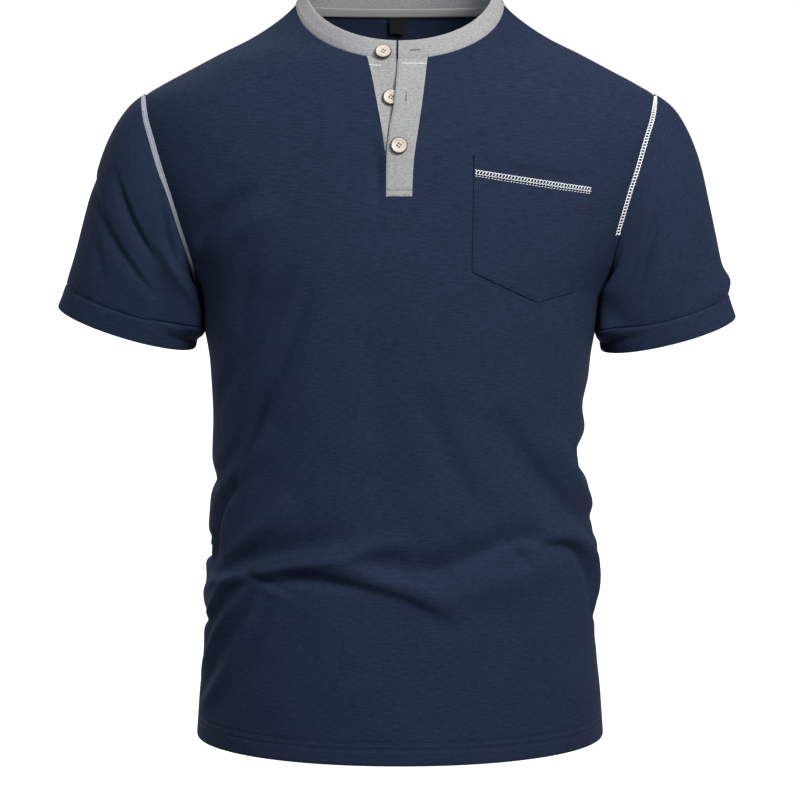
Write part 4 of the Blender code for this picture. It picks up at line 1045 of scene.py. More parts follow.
def sleeve_rows(cuff, share):
    """Lifted points of a sleeve and the normals of its surface, at shares [row][column] of its curves."""
    curves = sleeve_curves(cuff)
    rings = hug_body(cuff, on_curves(curves, share), share)
    around_way = np.roll(rings, -1, axis=1) - np.roll(rings, 1, axis=1)
    along_way = np.gradient(rings, axis=0)
    normal = unit(np.cross(around_way, along_way)) * cuff.side
    count = rings.shape[1]
    place = np.arange(count) / count
    around = SLEEVE_ROUND * (0.5 - place)[None, :] * -1.0 + 0 * share
    down = SLEEVE_LENGTH * share
    lift = sum(fold_rise(fold, around, down) for fold in SLEEVE_FOLDS[cuff.name])
    lift = lift + ripple(around + 0.3 * cuff.side, down)
    lift = lift * ease(share / 0.15) * (1 - ease((share - 0.82) / 0.1))
    return rings + normal * lift[..., None], normal, around


def make_sleeve(cuff, material):
    curves = sleeve_curves(cuff)
    hem = hem_shares(curves, CUFF_DEPTH)[None, :]
    by_hem = np.array([0.0003, 0.0007, 0.0011, 0.0018])
    above_hem = np.linspace(0, 0.983, SLEEVE_ROWS)
    body = np.concatenate([above_hem, 1 - by_hem[::-1] / LENGTH_TO_HEM, [1.0]])[:, None]
    turned = np.concatenate([by_hem / CUFF_DEPTH, np.linspace(0.12, 1, CUFF_ROWS)])[:, None]
    share = np.concatenate([body * hem, hem + turned * (1 - hem)])
    from_hem = np.concatenate([(body - 1) * LENGTH_TO_HEM, turned * CUFF_DEPTH]) + 0 * share
    points, normal, around = sleeve_rows(cuff, share)
    groove = bump_at(from_hem, 0.0, 0.0013)
    hem_zone = ease((from_hem - 0.0005) / 0.002)
    rounded = bump_at(from_hem, CUFF_DEPTH, 0.0010)
    outer_level = CLOTH / 2 - 0.0011 * groove + 0.0002 * hem_zone - 0.0004 * rounded
    inner_level = CLOTH / 2 + STITCH_DENT * groove + HEM_TURN * hem_zone - EDGE_ROUND * rounded
    outer, inner = points + normal * outer_level[..., None], points - normal * inner_level[..., None]
    coordinates = np.stack([around, -from_hem], -1)
    join = [np.concatenate([grid, grid[:, :1]], axis=1) for grid in (inner, outer, coordinates)]
    join[2][:, -1, 0] = SLEEVE_ROUND / 2
    return wall(cuff.name + "_cloth", join[0], join[1], material, join[2])


def neck_seam(angle):
    """Point and form normal of the neck seam. angle is 0 at the front and grows towards the wearer's left."""
    x = NECK_HALF_WIDTH * np.sin(angle)
    in_front = np.cos(angle) > 0
    height = neckline_height(x, np.where(in_front, NECK_FRONT_DROP, NECK_BACK_DROP))
    turn = turn_at(x, height)
    seam = np.where(in_front[..., None], form_point(turn, height, -1), form_point(turn, height, 1))
    normal = np.where(in_front[..., None], form_normal(seam, -1), form_normal(seam, 1))
    return seam, normal


def neck_ring(angle, rise=0.0, level=0.0):
    """Points round the collar band, from rise 0 at its seam to 1 at its top edge, moved out by level."""
    seam, normal = neck_seam(angle)
    inward = np.cross(neck_seam(angle + 0.01)[0] - neck_seam(angle - 0.01)[0], normal)
    inward *= -np.sign(np.sum(inward[..., :2] * seam[..., :2], axis=-1))[..., None]
    inward = unit(inward)
    smaller = 1 - BAND_LEAN * rise
    point = seam * np.stack([smaller, smaller, np.ones_like(smaller)], -1) + inward * SEAM_GAP
    point[..., 2] += BAND_HEIGHT * rise
    level_way = np.stack([np.sin(angle), -np.cos(angle), 0 * angle], -1)
    upright = ease(rise / 0.6)[..., None]
    outward = unit(normal * (1 - upright) + level_way * upright)
    return point + outward * np.asarray(level)[..., None]


def make_collar_band(material):
    rise = np.concatenate([[0.0, 0.03, 0.06], np.linspace(0.12, 0.94, 12), [0.97, 1.0]])[:, None]
    start = math.asin(BAND_END_LEFT / NECK_HALF_WIDTH)
    end = 2 * math.pi + math.asin(BAND_END_RIGHT / NECK_HALF_WIDTH)
    angle = np.linspace(start, end, 321)[None, :] + 0 * rise
    rise = rise + 0 * angle
    at_top = bump_at(rise, 1.0, 0.045)
    at_seam = bump_at(rise, 0.0, 0.05)
    swell = 0.0004 * np.sin(math.pi * rise)
    inner = neck_ring(angle, rise, EDGE_ROUND * at_top - swell * 0.5)
    outer = neck_ring(angle, rise, DOUBLE - EDGE_ROUND * at_top + swell - 0.0004 * at_seam)
    coordinates = np.stack([angle * 0.085, rise * BAND_HEIGHT], -1)
    return wall("collar_band_cloth", inner, outer, material, coordinates)


def patch(name, across, height, side, levels, material, coordinates=None):
    """A closed wall over the body's cloth, between an inner and an outer level off the form."""
    turn = turn_at(across, height)
    inner, outer = (cloth_point(turn, height, side, level + 0 * turn) for level in levels)
    if coordinates is None:
        coordinates = np.stack([across, height], -1)
    return wall(name, inner, outer, material, coordinates)


PLACKET_SHARES = np.concatenate([[0.0, 0.03, 0.06], np.linspace(0.1, 0.9, 12), [0.94, 0.97, 1.0]])


def opening_grid(edge_from, edge_to, heights):
    """Across and height of a placket's points, between two edges of the opening table."""
    height = heights[:, None] + 0 * PLACKET_SHARES
    start, end = column(OPENING, edge_from, height), column(OPENING, edge_to, height)
    across = start + (end - start) * PLACKET_SHARES
    top = neckline_height(across, NECK_FRONT_DROP)
    fit = ease((heights - heights[0]) / (heights[-1] - heights[0]))[:, None]
    return across, height + (top - heights[-1]) * fit


def placket_top_levels(shares, height):
    """How far the top placket's inner face stands off the form: it gapes over the middle button."""
    return GAPE * (1 - ease(shares / 0.6)) * bump_at(height, BUTTONS[0].height, 0.016)


def make_placket_top(material):
    bottom, strip = OPENING_BOTTOM + 0.0001, OPENING_BOTTOM + PLACKET_END
    near_strip = strip + np.array([-0.0006, -0.0001, 0.0001, 0.0005, 0.0010, 0.0015])
    heights = np.concatenate(
        [[bottom, bottom + 0.0005], np.linspace(bottom + 0.0012, strip - 0.0012, 4), near_strip]
    )
    heights = np.concatenate([heights, np.linspace(strip + 0.003, TOP_OF_OPENING, 56)])
    across, height = opening_grid("top_edge", "sewn_left", heights)
    wide = PLACKET_SHARES + 0 * height
    gape = placket_top_levels(wide, height)
    end_strip = BAR_STEP * (height < strip)
    edges = bump_at(wide, 0.0, 0.035) + 0.6 * bump_at(wide, 1.0, 0.035) + bump_at(height, bottom, 0.0008)
    groove = 0.0007 * bump_at(height, strip + 0.0005, 0.0006)
    outer = gape + DOUBLE + end_strip - groove - EDGE_ROUND * np.clip(edges, 0, 1)
    levels = (gape + SOFT_EDGE_ROUND * edges, outer)
    return patch("placket_top_cloth", across, height, -1, levels, material)


def under_levels(shares, height):
    """How far the under placket lies behind the top one."""
    behind = ease(shares / 0.18) * ease((TOP_OF_OPENING - 0.001 - height) / 0.011)
    return -UNDER_DROP * np.maximum(behind, ease((-0.114 - height) / 0.020))


def make_placket_under(material):
    heights = np.linspace(OPENING_BOTTOM + 0.004, TOP_OF_OPENING, 60)
    across, height = opening_grid("sewn_right", "under_edge", heights)
    level = under_levels(PLACKET_SHARES + 0 * height, height)
    return patch("placket_under_cloth", across, height, -1, (level, DOUBLE + level), material)


def mix_points(a, b, share):
    return np.array(a) + (np.array(b) - np.array(a)) * share[..., None]


def pocket_grid(share, down):
    """Across and height on the pocket, at shares across its width and down from its top edge."""
    point = POCKET_POINT_SHARE
    top = mix_points(POCKET_TOP_IN, POCKET_TOP_OUT, share)
    lowest = np.where(
        (share <= point)[..., None],
        mix_points(POCKET_SIDE_IN, POCKET_POINT, share / point),
        mix_points(POCKET_POINT, POCKET_SIDE_OUT, (share - point) / (1 - point)),
    )
    fall = lowest - top
    depth = np.linalg.norm(fall, axis=-1)
    drop = down * POCKET_DEPTH
    stretched = POCKET_HEM + (drop - POCKET_HEM) * (depth - POCKET_HEM) / (POCKET_DEPTH - POCKET_HEM)
    reach = np.where(drop < POCKET_HEM, drop, stretched)
    grid = top + fall * (reach / depth)[..., None]
    bulge = 0.004 * np.sin(math.pi * down) * np.abs(2 * share - 1) ** 3 * (share > 0.5)
    return grid[..., 0] + bulge, grid[..., 1]


def pocket_outer(share, down):
    """Points on the pocket's outer face."""
    across, height = pocket_grid(share, down)
    turned = HEM_TURN * (down * POCKET_DEPTH < POCKET_HEM)
    return cloth_point(turn_at(across, height), height, -1, POCKET_LEVEL + turned)


def make_pocket(material):
    share = np.concatenate([[0, 0.006, 0.014], np.linspace(0.03, 0.97, 52), [0.986, 0.994, 1.0]])[None, :]
    hem = POCKET_HEM / POCKET_DEPTH
    down = np.concatenate([[0, 0.005, 0.012], np.linspace(0.03, hem - 0.006, 9), [hem - 0.001, hem + 0.003]])
    down = np.concatenate([down, np.linspace(hem + 0.02, 0.97, 54), [0.985, 0.994, 1.0]])[:, None]
    share, down = share + 0 * down, down + 0 * share
    across, height = pocket_grid(share, down)
    turned = HEM_TURN * (down < hem)
    sides = np.clip(bumps(share, (0.0, 1.0), 0.009) + bump_at(down, 1.0, 0.009), 0, 1) * (down > 0.02)
    low, high = POCKET_STITCH_INSET, 1 - POCKET_STITCH_INSET
    sewn = np.clip(bumps(share, (low, high), 0.008) + bump_at(down, high, 0.008), 0, 1)
    mouth = POCKET_MOUTH * np.sin(math.pi * share) * bump_at(down, 0.0, 0.06)
    inner = CLOTH + LAID_GAP * (1 - sides) + mouth
    outer = POCKET_LEVEL + turned - SOFT_EDGE_ROUND * sides - POCKET_STITCH_DENT * sewn + mouth
    return patch("chest_pocket_cloth", across, height, -1, (inner, outer), material)


def make_neck_tape(material):
    angle = math.pi + np.linspace(-0.94, 0.94, 121)[None, :] * math.pi / 2
    down = np.linspace(0, 1, 9)[:, None]
    x = NECK_HALF_WIDTH * np.sin(angle) * np.ones_like(down)
    height = neckline_height(x, NECK_BACK_DROP) + 0.0008 - TAPE_WIDTH * down
    x = x * (1 + 0.02 * down)
    inner = -TAPE_GAP - TAPE_THICKNESS + 0.0004 * bumps(down, (0.0, 1.0), 0.08)
    coordinates = np.stack([angle * NECK_HALF_WIDTH + 0 * down, TAPE_WIDTH * down + 0 * angle], -1)
    return patch("neck_tape_cloth", x, height, 1, (inner, -TAPE_GAP), material, coordinates)


def make_neck_label(material):
    x = np.linspace(-LABEL_WIDTH / 2, LABEL_WIDTH / 2, 19)[None, :]
    top = NECK_POINT - NECK_BACK_DROP
    height = np.linspace(top - TAPE_WIDTH + 0.0003, top - LABEL_DROP, 27)[:, None]
    x, height = x + LABEL_ACROSS + 0 * height, height + 0 * x
    lift = 0.0009 * ((top - height) / LABEL_DROP) ** 2 * (1 + 0.4 * np.sin(x * 260 + 0.5))
    level = -TAPE_GAP - TAPE_THICKNESS - SEAM_GAP - lift
    return patch("neck_label_cloth", x, height, 1, (level - LABEL_THICKNESS, level), material)


# ---- Buttons ----


def button_profile():
    """Radius, height and material number of the turned shape: resin, with a brown line round its rim."""
    shares = [
        (0.0, BUTTON_FACE, 0),
        (0.30, BUTTON_FACE, 0),
        (0.50, 0.71, 0),
        (0.60, 0.76, 0),
        (0.72, 0.92, 0),
        (0.82, 0.99, 0),
        (0.865, 0.98, 0),
        (0.885, 0.95, 1),
        (0.95, 0.90, 1),
        (0.98, 0.83, 1),
        (1.0, 0.70, 1),
        (1.0, 0.45, 1),
        (0.97, 0.15, 0),
        (0.90, 0.0, 0),
        (0.0, 0.0, 0),
    ]
    return [(BUTTON_RADIUS * across, BUTTON_THICK * up, number) for across, up, number in shares]


def hole_places():
    angles = [math.pi / 4 + i * math.pi / 2 + BUTTON_TURN for i in range(4)]
    return [Vector((math.cos(angle), math.sin(angle), 0)) * BUTTON_HOLE_SPREAD for angle in angles]


def object_from(name, shape):
    """An object from a bmesh, which is freed."""
    mesh = bpy.data.meshes.new(name)
    shape.to_mesh(mesh)
    shape.free()
    made = bpy.data.objects.new(name, mesh)
    bpy.context.scene.collection.objects.link(made)
    return made


def turned_button(name, materials):
    """A button turned from its profile, with four holes cut through it."""
    profile = button_profile()
    turns = [2 * math.pi * k / BUTTON_SEGMENTS for k in range(BUTTON_SEGMENTS)]
    shape = bmesh.new()
    rings = []
    for r, h, _ in profile:
        ring = [(r * math.cos(t), r * math.sin(t), h) for t in turns] if r else [(0, 0, h)]
        rings.append([shape.verts.new(corner) for corner in ring])
    for (_, _, number), low, high in zip(profile, rings, rings[1:]):
        for k in range(BUTTON_SEGMENTS):
            n = k + 1
            corners = (low[k % len(low)], high[k % len(high)], high[n % len(high)], low[n % len(low)])
            face = shape.faces.new(tuple(dict.fromkeys(corners)))
            face.material_index = number
    bmesh.ops.recalc_face_normals(shape, faces=shape.faces)
    button = object_from(name + "_turned", shape)
    for material in materials:
        button.data.materials.append(material)
    cutters = bmesh.new()
    sizes = {"radius1": BUTTON_HOLE_RADIUS, "radius2": BUTTON_HOLE_RADIUS, "depth": BUTTON_THICK * 3}
    for place in hole_places():
        middle = Matrix.Translation(place + Vector((0, 0, BUTTON_THICK / 2)))
        bmesh.ops.create_cone(cutters, cap_ends=True, segments=20, matrix=middle, **sizes)
    cutter = object_from(name + "_holes", cutters)
    cut = button.modifiers.new("Holes", "BOOLEAN")
    cut.operation = "DIFFERENCE"
    cut.object = cutter
    bpy.context.view_layer.update()
    solid = bpy.data.meshes.new_from_object(button.evaluated_get(bpy.context.evaluated_depsgraph_get()))
    button.modifiers.clear()
    button.data = solid
    bpy.data.objects.remove(cutter, do_unlink=True)
    solid.shade_smooth()
    solid.set_sharp_from_angle(angle=math.radians(38))
    return button


def make_button(name, place, out, materials, thread):
    """A button on its place, and the double thread through its holes."""
    button = turned_button(name, materials)
    across = Vector(out).orthogonal().normalized()
    turn = Matrix((across, Vector(out).cross(across), Vector(out))).transposed()
    button.matrix_world = Matrix.Translation(Vector(place)) @ turn.to_4x4()
    holes = [np.array(hole) for hole in hole_places()]
    share = np.linspace(0, 1, 9)[:, None]
    parts = []
    for start, end in (holes[:2], holes[2:]):
        side = unit(np.cross(end - start, (0, 0, 1.0)))
        for off in (-KNOT_SPREAD, KNOT_SPREAD):
            path = start + (end - start) * share + side * off
            top = BUTTON_THICK * BUTTON_FACE + KNOT_RISE
            path[:, 2] = top * np.sin(math.pi * share[:, 0]) ** 0.5 - KNOT_BACK
            world = path @ np.array(turn.transposed()) + np.array(place)
            parts.append(tubes(world[None], np.zeros_like(world[None]) + out, KNOT_RADIUS))
    return button, put_together(name + "_thread", parts, thread)


def on_band(across, rise, level):
    """A point on the collar band across from its middle, the way along the band there, and the way out."""
    angle, rise = np.array(across / NECK_HALF_WIDTH), np.array(rise)
    along = neck_ring(angle + 0.05, rise, DOUBLE) - neck_ring(angle - 0.05, rise, DOUBLE)
    up = neck_ring(angle, rise + 0.3, DOUBLE) - neck_ring(angle, rise - 0.3, DOUBLE)
    return neck_ring(angle, rise, level), along, unit(np.cross(along, up))


def button_places():
    """Name, place of the back's middle and way out of each button."""
    place, _, out = on_band(2 * math.pi * NECK_HALF_WIDTH + TOP_BUTTON_ACROSS, TOP_BUTTON_UP, DOUBLE + 0.0003)
    out = unit(out + np.array([0, 0, TOP_BUTTON_TILT]))
    places = [("button_neck", place + out * BUTTON_STAND, out)]
    for button in BUTTONS:
        turn, height = turn_at(button.across, button.height), np.array(button.height)
        out = normal_at(turn, height, -1)
        level = np.array(DOUBLE - button.drop + BUTTON_STAND)
        places.append((button.name, cloth_point(turn, height, -1, level), out))
    return places


# ---- Strips for the sewing ----


def body_strip(middle_height, across):
    """A strip round the body near a height: across the front from the wearer's right, then the back."""
    turn = np.linspace(-1, 1, 361)
    rows = []
    for w in across:
        height = middle_height + w + 0 * turn
        front = cloth_point(turn, height, -1, CLOTH + 0 * turn)
        back = cloth_point(turn[::-1], height, 1, CLOTH + 0 * turn)
        rows.append(np.concatenate([front[:-1], back]))
    return make_strip(rows, across, np.array(rows) * LEVEL_PARTS)


def cuff_strip(cuff, across):
    """A strip round a sleeve at its hem line, across it towards the armhole."""
    curves = sleeve_curves(cuff)
    rings = on_curves(curves, np.array([hem_shares(curves, CUFF_DEPTH + w) for w in across]))
    rings = np.concatenate([rings, rings[:, :1]], axis=1)
    strip = make_strip(rings, across, rings - rings.mean(axis=(0, 1)))
    return strip._replace(points=rings + strip.normals * CLOTH / 2)


def sleeve_way(cuff, side, height):
    """The way in which the sleeve leaves its armhole at those heights."""
    start, first, _, _ = sleeve_curves(cuff)
    _, ring_height, ring_side = armhole_ring()
    mine = ring_side == side
    order = np.argsort(ring_height[mine])
    heights, leave = ring_height[mine][order], (first - start)[mine][order]
    return unit(np.stack([np.interp(height, heights, leave[:, k]) for k in range(3)], -1))


def armhole_strip(cuff, side, across, drift, bridge=0.0):
    """A strip over an armhole seam, from its top down, with the body's side across it at the negative side.

    drift moves it across the seam, and bridge carries it straight on from the body, low down on the sleeve.
    """
    rise = np.linspace(0.995, 0.0, 181)
    height = UNDERARM + (SHOULDER_TIP - UNDERARM) * rise
    edge = armhole_across(height)
    turn = cuff.side * turn_at(edge, height)
    level = 2 * CLOTH + SEAM_GAP + SLEEVE_RAISED
    seam = cloth_point(turn, height, side, level)
    probe = cloth_point(cuff.side * turn_at(edge - 0.001, height), height, side, level)
    per_metre = 0.001 / np.linalg.norm(probe - seam, axis=-1)
    bridged = bridge * ease((0.65 - rise) / 0.3)[:, None]
    way = unit(sleeve_way(cuff, side, height) * (1 - bridged) + unit(seam - probe) * bridged)
    rows = []
    for w in across:
        at = w + drift * (0.75 + 0.25 * ease((1 - rise) / 0.25))
        inside = cuff.side * turn_at(edge + np.minimum(at, 0) * per_metre, height)
        on_body = cloth_point(inside, height, side, level - 0.0014 * ease(-at / 0.0015))
        on_sleeve = seam + way * np.maximum(at, 0)[:, None]
        rows.append(np.where((at <= 0)[:, None], on_body, on_sleeve))
    return make_strip(rows, across, normal_at(turn, height, side))


def strip_band(name, strip, material, half, thick, widen=0.0):
    """A thin flat tape along a strip, wider by the share widen past its middle."""
    at = np.linspace(0, strip.along[-1], int(strip.along[-1] / 0.0015))[None, :]
    place = np.linspace(-1, 1, 7)[:, None] + 0 * at
    at = at + 0 * place
    side = half * place * (1 + widen * ease((at / strip.along[-1] - 0.45) / 0.3))
    inner = on_strip(strip, at, side, -0.0002 + 0 * at)[0]
    outer = on_strip(strip, at, side, thick * (0.35 + 0.65 * np.clip(1 - place**2, 0, 1) ** 0.5))[0]
    return wall(name, inner, outer, material, np.stack([at, side], -1))


def pocket_strip(share, down, offsets, across):
    """A strip over the pocket, along a line of shares. Each offset (share, down) makes a row."""
    rows = [pocket_outer(share + right, down + low) for right, low in offsets]
    return make_strip(rows, across, FORWARD)


def front_strip(x, z, shift, level, across=STITCH_OFFSETS):
    """A strip along a line on the plackets, with rows moved from it by shift (right, up) times across."""
    rows = []
    for w in across:
        right, high = x + w * shift[0], z + w * shift[1]
        rows.append(cloth_point(turn_at(right, high), high, -1, level(right, high)))
    return make_strip(rows, across, FORWARD)


def share_between(left, right, x, z):
    left, right = column(OPENING, left, z), column(OPENING, right, z)
    return np.clip((x - left) / (right - left), 0, 1)


def on_top_placket(x, z):
    return placket_top_levels(share_between("top_edge", "sewn_left", x, z), z) + DOUBLE


def on_under_placket(x, z):
    return under_levels(share_between("sewn_right", "under_edge", x, z), z) + DOUBLE


# ---- Sewing ----


def make_hem_stitches(thread):
    strip = body_strip(HEM_STITCH_LINE, np.array([-0.005, 0.0, 0.005]))
    parts = sum((topstitch(strip, row, HEM_STITCH) for row in HEM_STITCH_ROWS), [])
    pieces = [put_together("hem_stitches", parts, thread)]
    for cuff in CUFFS:
        strip = cuff_strip(cuff, np.array([-0.004, 0.0, 0.004]))
        pieces.append(put_together(cuff.name + "_stitches", topstitch(strip, 0.0012, CUFF_STITCH), thread))
    return pieces


def make_armhole_stitches(white, dark, tape):
    """The wearer's right armhole has a pale covered seam, and the left a close ladder of white threads."""
    half = np.array([0.0013, 0.0026, 0.0040, 0.0060])
    across = np.concatenate([-half[::-1], [0.0], half])
    right, left = CUFFS
    pieces, ticks, ladder = [], [], []
    for side, label in ((-1, "front"), (1, "back")):
        in_front = side < 0
        strip = armhole_strip(right, side, across, RIGHT_SEAM_DRIFT, 0.9 * in_front)
        name = "seam_tape_right_" + label
        pieces.append(strip_band(name, strip, tape, TAPE_HALF, TAPE_THICK, 0.6 * in_front))
        for rung in TICKS:
            ticks += rungs(strip, rung, TICKS_FROM * strip.along[-1], TICKS_TO * strip.along[-1])
        strip = armhole_strip(left, side, across, LEFT_SEAM_DRIFT)
        end = strip.along[-1] * (LADDER_SHARE if in_front else 1.0)
        for edge in (-LADDER_HALF, LADDER_HALF):
            ladder += chain_along(strip, edge, LADDER_CHAIN, end)
        for rung in LADDER_RUNGS:
            ladder += rungs(strip, rung, 0.0, end)
        ladder += rungs(strip, LADDER_TOP_RUNG, 0.0, LADDER_TOP_LENGTH)
    pieces.append(put_together("seam_ticks_right", ticks, dark))
    pieces.append(put_together("seam_ladder_left", ladder, white))
    return pieces


def make_pocket_stitches(white, thread):
    """The coverstitch under the pocket's turned top, and the rows down its sides and along its point."""
    across = np.array([-0.0045, -0.0022, 0.0, 0.0022, 0.0045])
    share = np.linspace(0.004, 0.996, 140)
    down = (POCKET_HEM - 0.0005) / POCKET_DEPTH + 0 * share
    strip = pocket_strip(share, down, [(0, -w / POCKET_DEPTH) for w in across], across)
    end = strip.along[-1] - 0.0022
    parts = chain_along(strip, 0.0028, POCKET_CHAIN, end) + chain_along(strip, -0.0004, POCKET_CHAIN, end)
    parts += rungs(strip, POCKET_RUNG, 0.0, end) + topstitch(strip, -0.0022, POCKET_TOP_STITCH, end)
    low, high = POCKET_STITCH_INSET, 1 - POCKET_STITCH_INSET
    point = POCKET_POINT_SHARE
    beside, below = [(w, 0) for w in (-0.01, 0.0, 0.01)], [(0, -w) for w in (-0.01, 0.0, 0.01)]
    edges = []
    for start, end, offsets in (
        ((low, 0.01), (low, high), beside),
        ((high, 0.01), (high, high), beside),
        ((low, high), (point, high), below),
        ((point, high), (high, high), below),
    ):
        share, down = (np.linspace(first, last, 50) for first, last in zip(start, end))
        edges += topstitch(pocket_strip(share, down, offsets, STITCH_OFFSETS), 0.0, POCKET_EDGE_STITCH)
    cover = put_together("pocket_coverstitch", parts, white)
    return cover, put_together("pocket_edge_stitches", edges, thread)


def make_neck_stitches(white, thread):
    """Stitches along the placket's edges and end, the two bars under the band, and the row round the band."""
    parts, bars = [], []
    for edge, inset, level, low, count in (
        ("sewn_left", -0.0016, on_top_placket, -0.174, 90),
        ("top_edge", 0.0016, on_top_placket, -0.174, 90),
        ("sewn_right", 0.0014, on_under_placket, -0.140, 60),
    ):
        z = np.linspace(low, -0.064, count)
        strip = front_strip(column(OPENING, edge, z) + inset, z, (1, 0), level)
        parts += topstitch(strip, 0.0, PLACKET_STITCH)
    for row, start, end, height, level, stitch in (
        (parts, -0.0118, 0.0108, OPENING_BOTTOM + PLACKET_END + 0.0006, on_top_placket, PLACKET_END_STITCH),
        (parts, -0.0116, 0.0100, OPENING_BOTTOM + 0.0012, on_top_placket, PLACKET_FOOT_STITCH),
        (bars, -0.0280, -0.0172, -0.0632, on_under_placket, BAR_STITCH),
        (bars, 0.0012, 0.0240, -0.0623, on_top_placket, BAR_STITCH),
    ):
        x = np.linspace(start, end, 40)
        row += topstitch(front_strip(x, height + 0 * x, (0, 1), level), 0.0, stitch)
    angle = np.linspace(0.02, 2 * math.pi - 0.06, 400)
    level = DOUBLE + 0.0001 + 0 * angle
    rows = np.array([neck_ring(angle, rise + 0 * angle, level) for rise in (0.01, 0.06, 0.11)])
    band = topstitch(make_strip(rows, STITCH_OFFSETS, rows * LEVEL_PARTS), 0.0, BAND_STITCH)
    pieces = (("placket_stitches", parts, thread), ("placket_bar_stitches", bars, white))
    return [put_together(*piece) for piece in pieces + (("band_stitches", band, thread),)]


def make_buttonhole(name, place, out, way, length, thread, dark):
    """A slit bound with thread: a dark lens of painted shadow in the opening, and a close row of stitches
    round it.
    """
    place, out, way = (np.asarray(v, float) for v in (place, out, way))
    way = unit(way - out * (way @ out))
    beside = np.cross(out, way)
    half = length / 2
    angle = np.linspace(0, 2 * math.pi, 40, endpoint=False)
    count = len(angle)
    lens = np.outer(np.cos(angle), way) * half + np.outer(np.sin(angle), beside) * SLIT_HALF_WIDTH
    points = np.concatenate([place + lens + out * SLIT_FRONT, place + lens + out * SLIT_BACK])
    faces = [list(range(count)), list(range(2 * count - 1, count - 1, -1))]
    faces += [[k, k + count, (k + 1) % count + count, (k + 1) % count] for k in range(count)]
    # the lens is painted shadow inside the slit; dark is the slit_shadow material here
    slit = add_mesh(name + "_slit", points, faces, dark, smooth=False)
    parts = []

    def bind(start, end, radius):
        paths = np.stack([start, (start + end) / 2 + out * 0.0002, end], axis=-2)
        parts.append(tubes(paths, np.zeros_like(paths) + out, radius))

    line = place + np.arange(-half, half, BINDING_PITCH)[:, None] * way + out * 0.0001
    for sign in (-1, 1):
        bind(line + sign * beside * BINDING_FROM, line + sign * beside * BINDING_TO, BINDING_RADIUS)
    for sign in (-1, 1):
        tip = (place + way * sign * (half + 0.0001) + out * 0.0002)[None]
        bind(tip - beside * BAR_HALF, tip + beside * BAR_HALF, BAR_RADIUS)
    return slit, put_together(name + "_binding", parts, thread)


def make_buttonholes(thread, dark):
    place, along, out = on_band(NECK_HOLE_ACROSS, NECK_HOLE_UP, np.array(DOUBLE + 0.0004))
    made = list(make_buttonhole("buttonhole_neck", place, out, along, NECK_HOLE_LENGTH, thread, dark))
    x, z = np.array(MIDDLE_HOLE_ACROSS), np.array(MIDDLE_HOLE_HEIGHT)
    turn = turn_at(x, z)
    place, out = cloth_point(turn, z, -1, on_top_placket(x, z)), normal_at(turn, z, -1)
    sizes = ((0, 0, 1.0), MIDDLE_HOLE_LENGTH)
    return made + list(make_buttonhole("buttonhole_middle", place, out, *sizes, thread, dark))


# ---- Stage ----

LIT_POINT = Vector((0, 0, -0.35))
KEY_PLACE = (0.95, -1.60, 0.95)
KEY_POWER = 54.0
Sun = namedtuple("Sun", "name place softness power colour")
SUNS = [
    Sun("fill", (-3.0, -2.6, 0.9), 40.0, 0.50, (0.80, 1.0, 1.10)),
    Sun("back", (-1.6, 3.2, 2.4), 35.0, 1.4, (1.0, 1.0, 1.0)),
]
FLOOR_LEVEL = -1.45
FLOOR_NEAR = 0.4
FLOOR_SIZE = 30.0


def hang(name, data, place, target):
    """Places a lamp or a camera, looking at the target."""
    made = bpy.data.objects.new(name, data)
    made.location = place
    made.rotation_euler = (target - Vector(place)).to_track_quat("-Z", "Y").to_euler()
    bpy.context.scene.collection.objects.link(made)
    return made


def make_stage():
    material, _, shader, _ = new_material("floor_paint")
    fill_inputs(shader, {"Base Color": (0.93, 0.93, 0.93, 1), "Roughness": 0.95, "Specular IOR Level": 0.1})
    fill_inputs(shader, {"Emission Color": (1.0, 1.0, 1.0, 1), "Emission Strength": 0.6})
    near = [(-FLOOR_SIZE, FLOOR_NEAR, FLOOR_LEVEL), (FLOOR_SIZE, FLOOR_NEAR, FLOOR_LEVEL)]
    far = [(FLOOR_SIZE, FLOOR_SIZE, FLOOR_LEVEL), (-FLOOR_SIZE, FLOOR_SIZE, FLOOR_LEVEL)]
    floor = add_mesh("studio_floor", near + far, [[0, 1, 2, 3]], material)
    world = bpy.data.worlds.new("studio")
    bpy.context.scene.world = world
    world.use_nodes = True
    tree = world.node_tree
    sky = add_node(tree, "ShaderNodeTexCoord").outputs["Generated"]
    way = add_node(tree, "ShaderNodeSeparateXYZ", {0: sky})
    from_above = ranged(tree, way.outputs["Z"], -0.5, 0.7, 0.10, 0.42)
    seen = calculated(tree, "MULTIPLY", add_node(tree, "ShaderNodeLightPath").outputs["Is Camera Ray"], 1.05)
    strength = calculated(tree, "MAXIMUM", from_above, seen)
    fill_inputs(tree.nodes["Background"], {"Color": (1.0, 1.0, 1.0, 1), "Strength": strength})
    for sun in SUNS:
        light = bpy.data.lights.new(sun.name, "SUN")
        light.angle = math.radians(sun.softness)
        light.energy = sun.power
        light.color = sun.colour
        hang(sun.name, light, sun.place, LIT_POINT)
    key = bpy.data.lights.new("key", "AREA")
    key.shape = "DISK"
    key.size = 0.9
    key.energy = KEY_POWER
    hang("key", key, KEY_PLACE, LIT_POINT)
    return floor


def make_camera():
    distance, elevation, half_frame = 2.5, math.radians(7), 0.38
    target = Vector((0, 0, -0.378))
    way = Vector((0, math.cos(elevation), -math.sin(elevation)))
    camera = bpy.data.cameras.new("camera")
    camera.sensor_width = 36
    camera.lens = 36 / (2 * half_frame / distance)
    bpy.context.scene.camera = hang("camera", camera, target - way * distance, target)


def take_place(piece, slot, *nodes):
    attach(piece, "root")
    if nodes:
        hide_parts(*nodes)


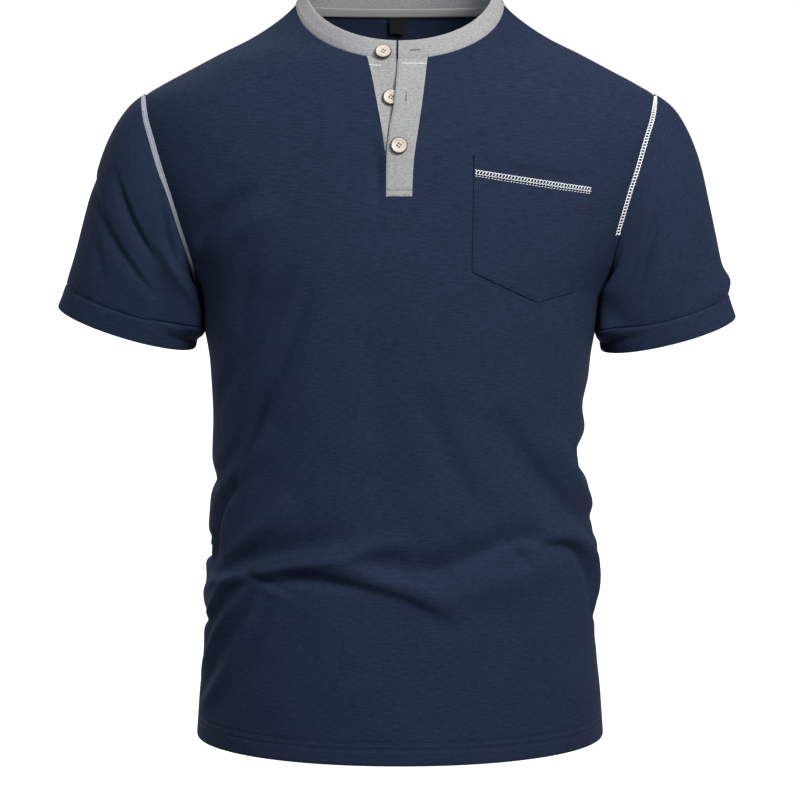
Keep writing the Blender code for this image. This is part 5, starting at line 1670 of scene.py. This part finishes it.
def main():
    navy_colour = (0.0162, 0.0248, 0.0530)
    grey_colour = (0.322, 0.319, 0.320)
    navy = make_jersey("navy_jersey_knit", navy_colour, (0.0080, 0.0016), 0.28)
    grey = make_jersey("grey_melange_knit", grey_colour, (0.0030, 0.0015), 0.26)
    white = make_thread("white_thread", (0.86, 0.86, 0.87))
    dark = make_thread("dark_thread", (0.060, 0.070, 0.100))
    # navy thread darker than the navy cloth: its own colour plus painted shade of the stitch grooves it lies
    # in
    navy_thread_with_painted_shade = make_thread("navy_thread_with_painted_shade", (0.008, 0.012, 0.028))
    grey_thread = make_thread("grey_thread", (0.36, 0.36, 0.37))
    seam_tape = make_woven("seam_cover", (0.37, 0.38, 0.43), 3000.0, 1400.0, 0.12, 0.8)
    label = make_woven("label_weave_satin", (0.007, 0.007, 0.008), 4200.0, 2600.0, 0.35, 0.55)
    twill_colours = ((0.28, 0.275, 0.27, 1), (0.46, 0.455, 0.45, 1))
    tape = make_herringbone("neck_tape_twill", *twill_colours, 0.0022, 0.00425)
    resin = make_resin("button_resin_cream", (0.48, 0.41, 0.34, 1), (0.66, 0.60, 0.52, 1), 0.42)
    rim = make_resin("button_rim_brown", (0.022, 0.013, 0.008, 1), (0.060, 0.038, 0.024, 1), 0.65)
    # not thread: painted shadow for the dark lenses inside the buttonhole slits
    slit = make_thread("slit_shadow", (0.030, 0.030, 0.032))

    front = make_panel("front_panel_cloth", -1, navy)
    back = make_panel("back_panel_cloth", 1, navy)
    take_place(front, "navy_jersey", "front_panel")
    take_place(back, "navy_jersey", "back_panel")
    for cuff in CUFFS:
        sleeve = make_sleeve(cuff, navy)
        take_place(sleeve, "navy_jersey", cuff.name)
    pocket = make_pocket(navy)
    take_place(pocket, "navy_jersey", "chest_pocket")
    band = make_collar_band(grey)
    take_place(band, "grey_jersey", "collar_band")
    top = make_placket_top(grey)
    take_place(top, "grey_jersey", "placket_top")
    under = make_placket_under(grey)
    take_place(under, "grey_jersey", "placket_under")
    tape_piece = make_neck_tape(tape)
    take_place(tape_piece, "grey_jersey", "neck_tape")
    label_piece = make_neck_label(label)
    take_place(label_piece, "label_weave", "neck_label")
    for name, place, out in button_places():
        button, knot = make_button(name, place, out, (resin, rim), grey_thread)
        take_place(button, "button_resin", name)
        take_place(knot, "grey_jersey")
    hems = make_hem_stitches(navy_thread_with_painted_shade)
    armholes = make_armhole_stitches(white, dark, seam_tape)
    cover, edges = make_pocket_stitches(white, navy_thread_with_painted_shade)
    neck = make_neck_stitches(white, grey_thread)
    buttonholes = make_buttonholes(grey_thread, slit)
    for piece in (*hems, edges):
        take_place(piece, "navy_jersey")
    for piece in (*armholes, cover, *neck, *buttonholes):
        take_place(piece, "grey_jersey")
    make_stage()
    make_camera()
    bpy.context.scene.view_settings.view_transform = "Standard"


main()
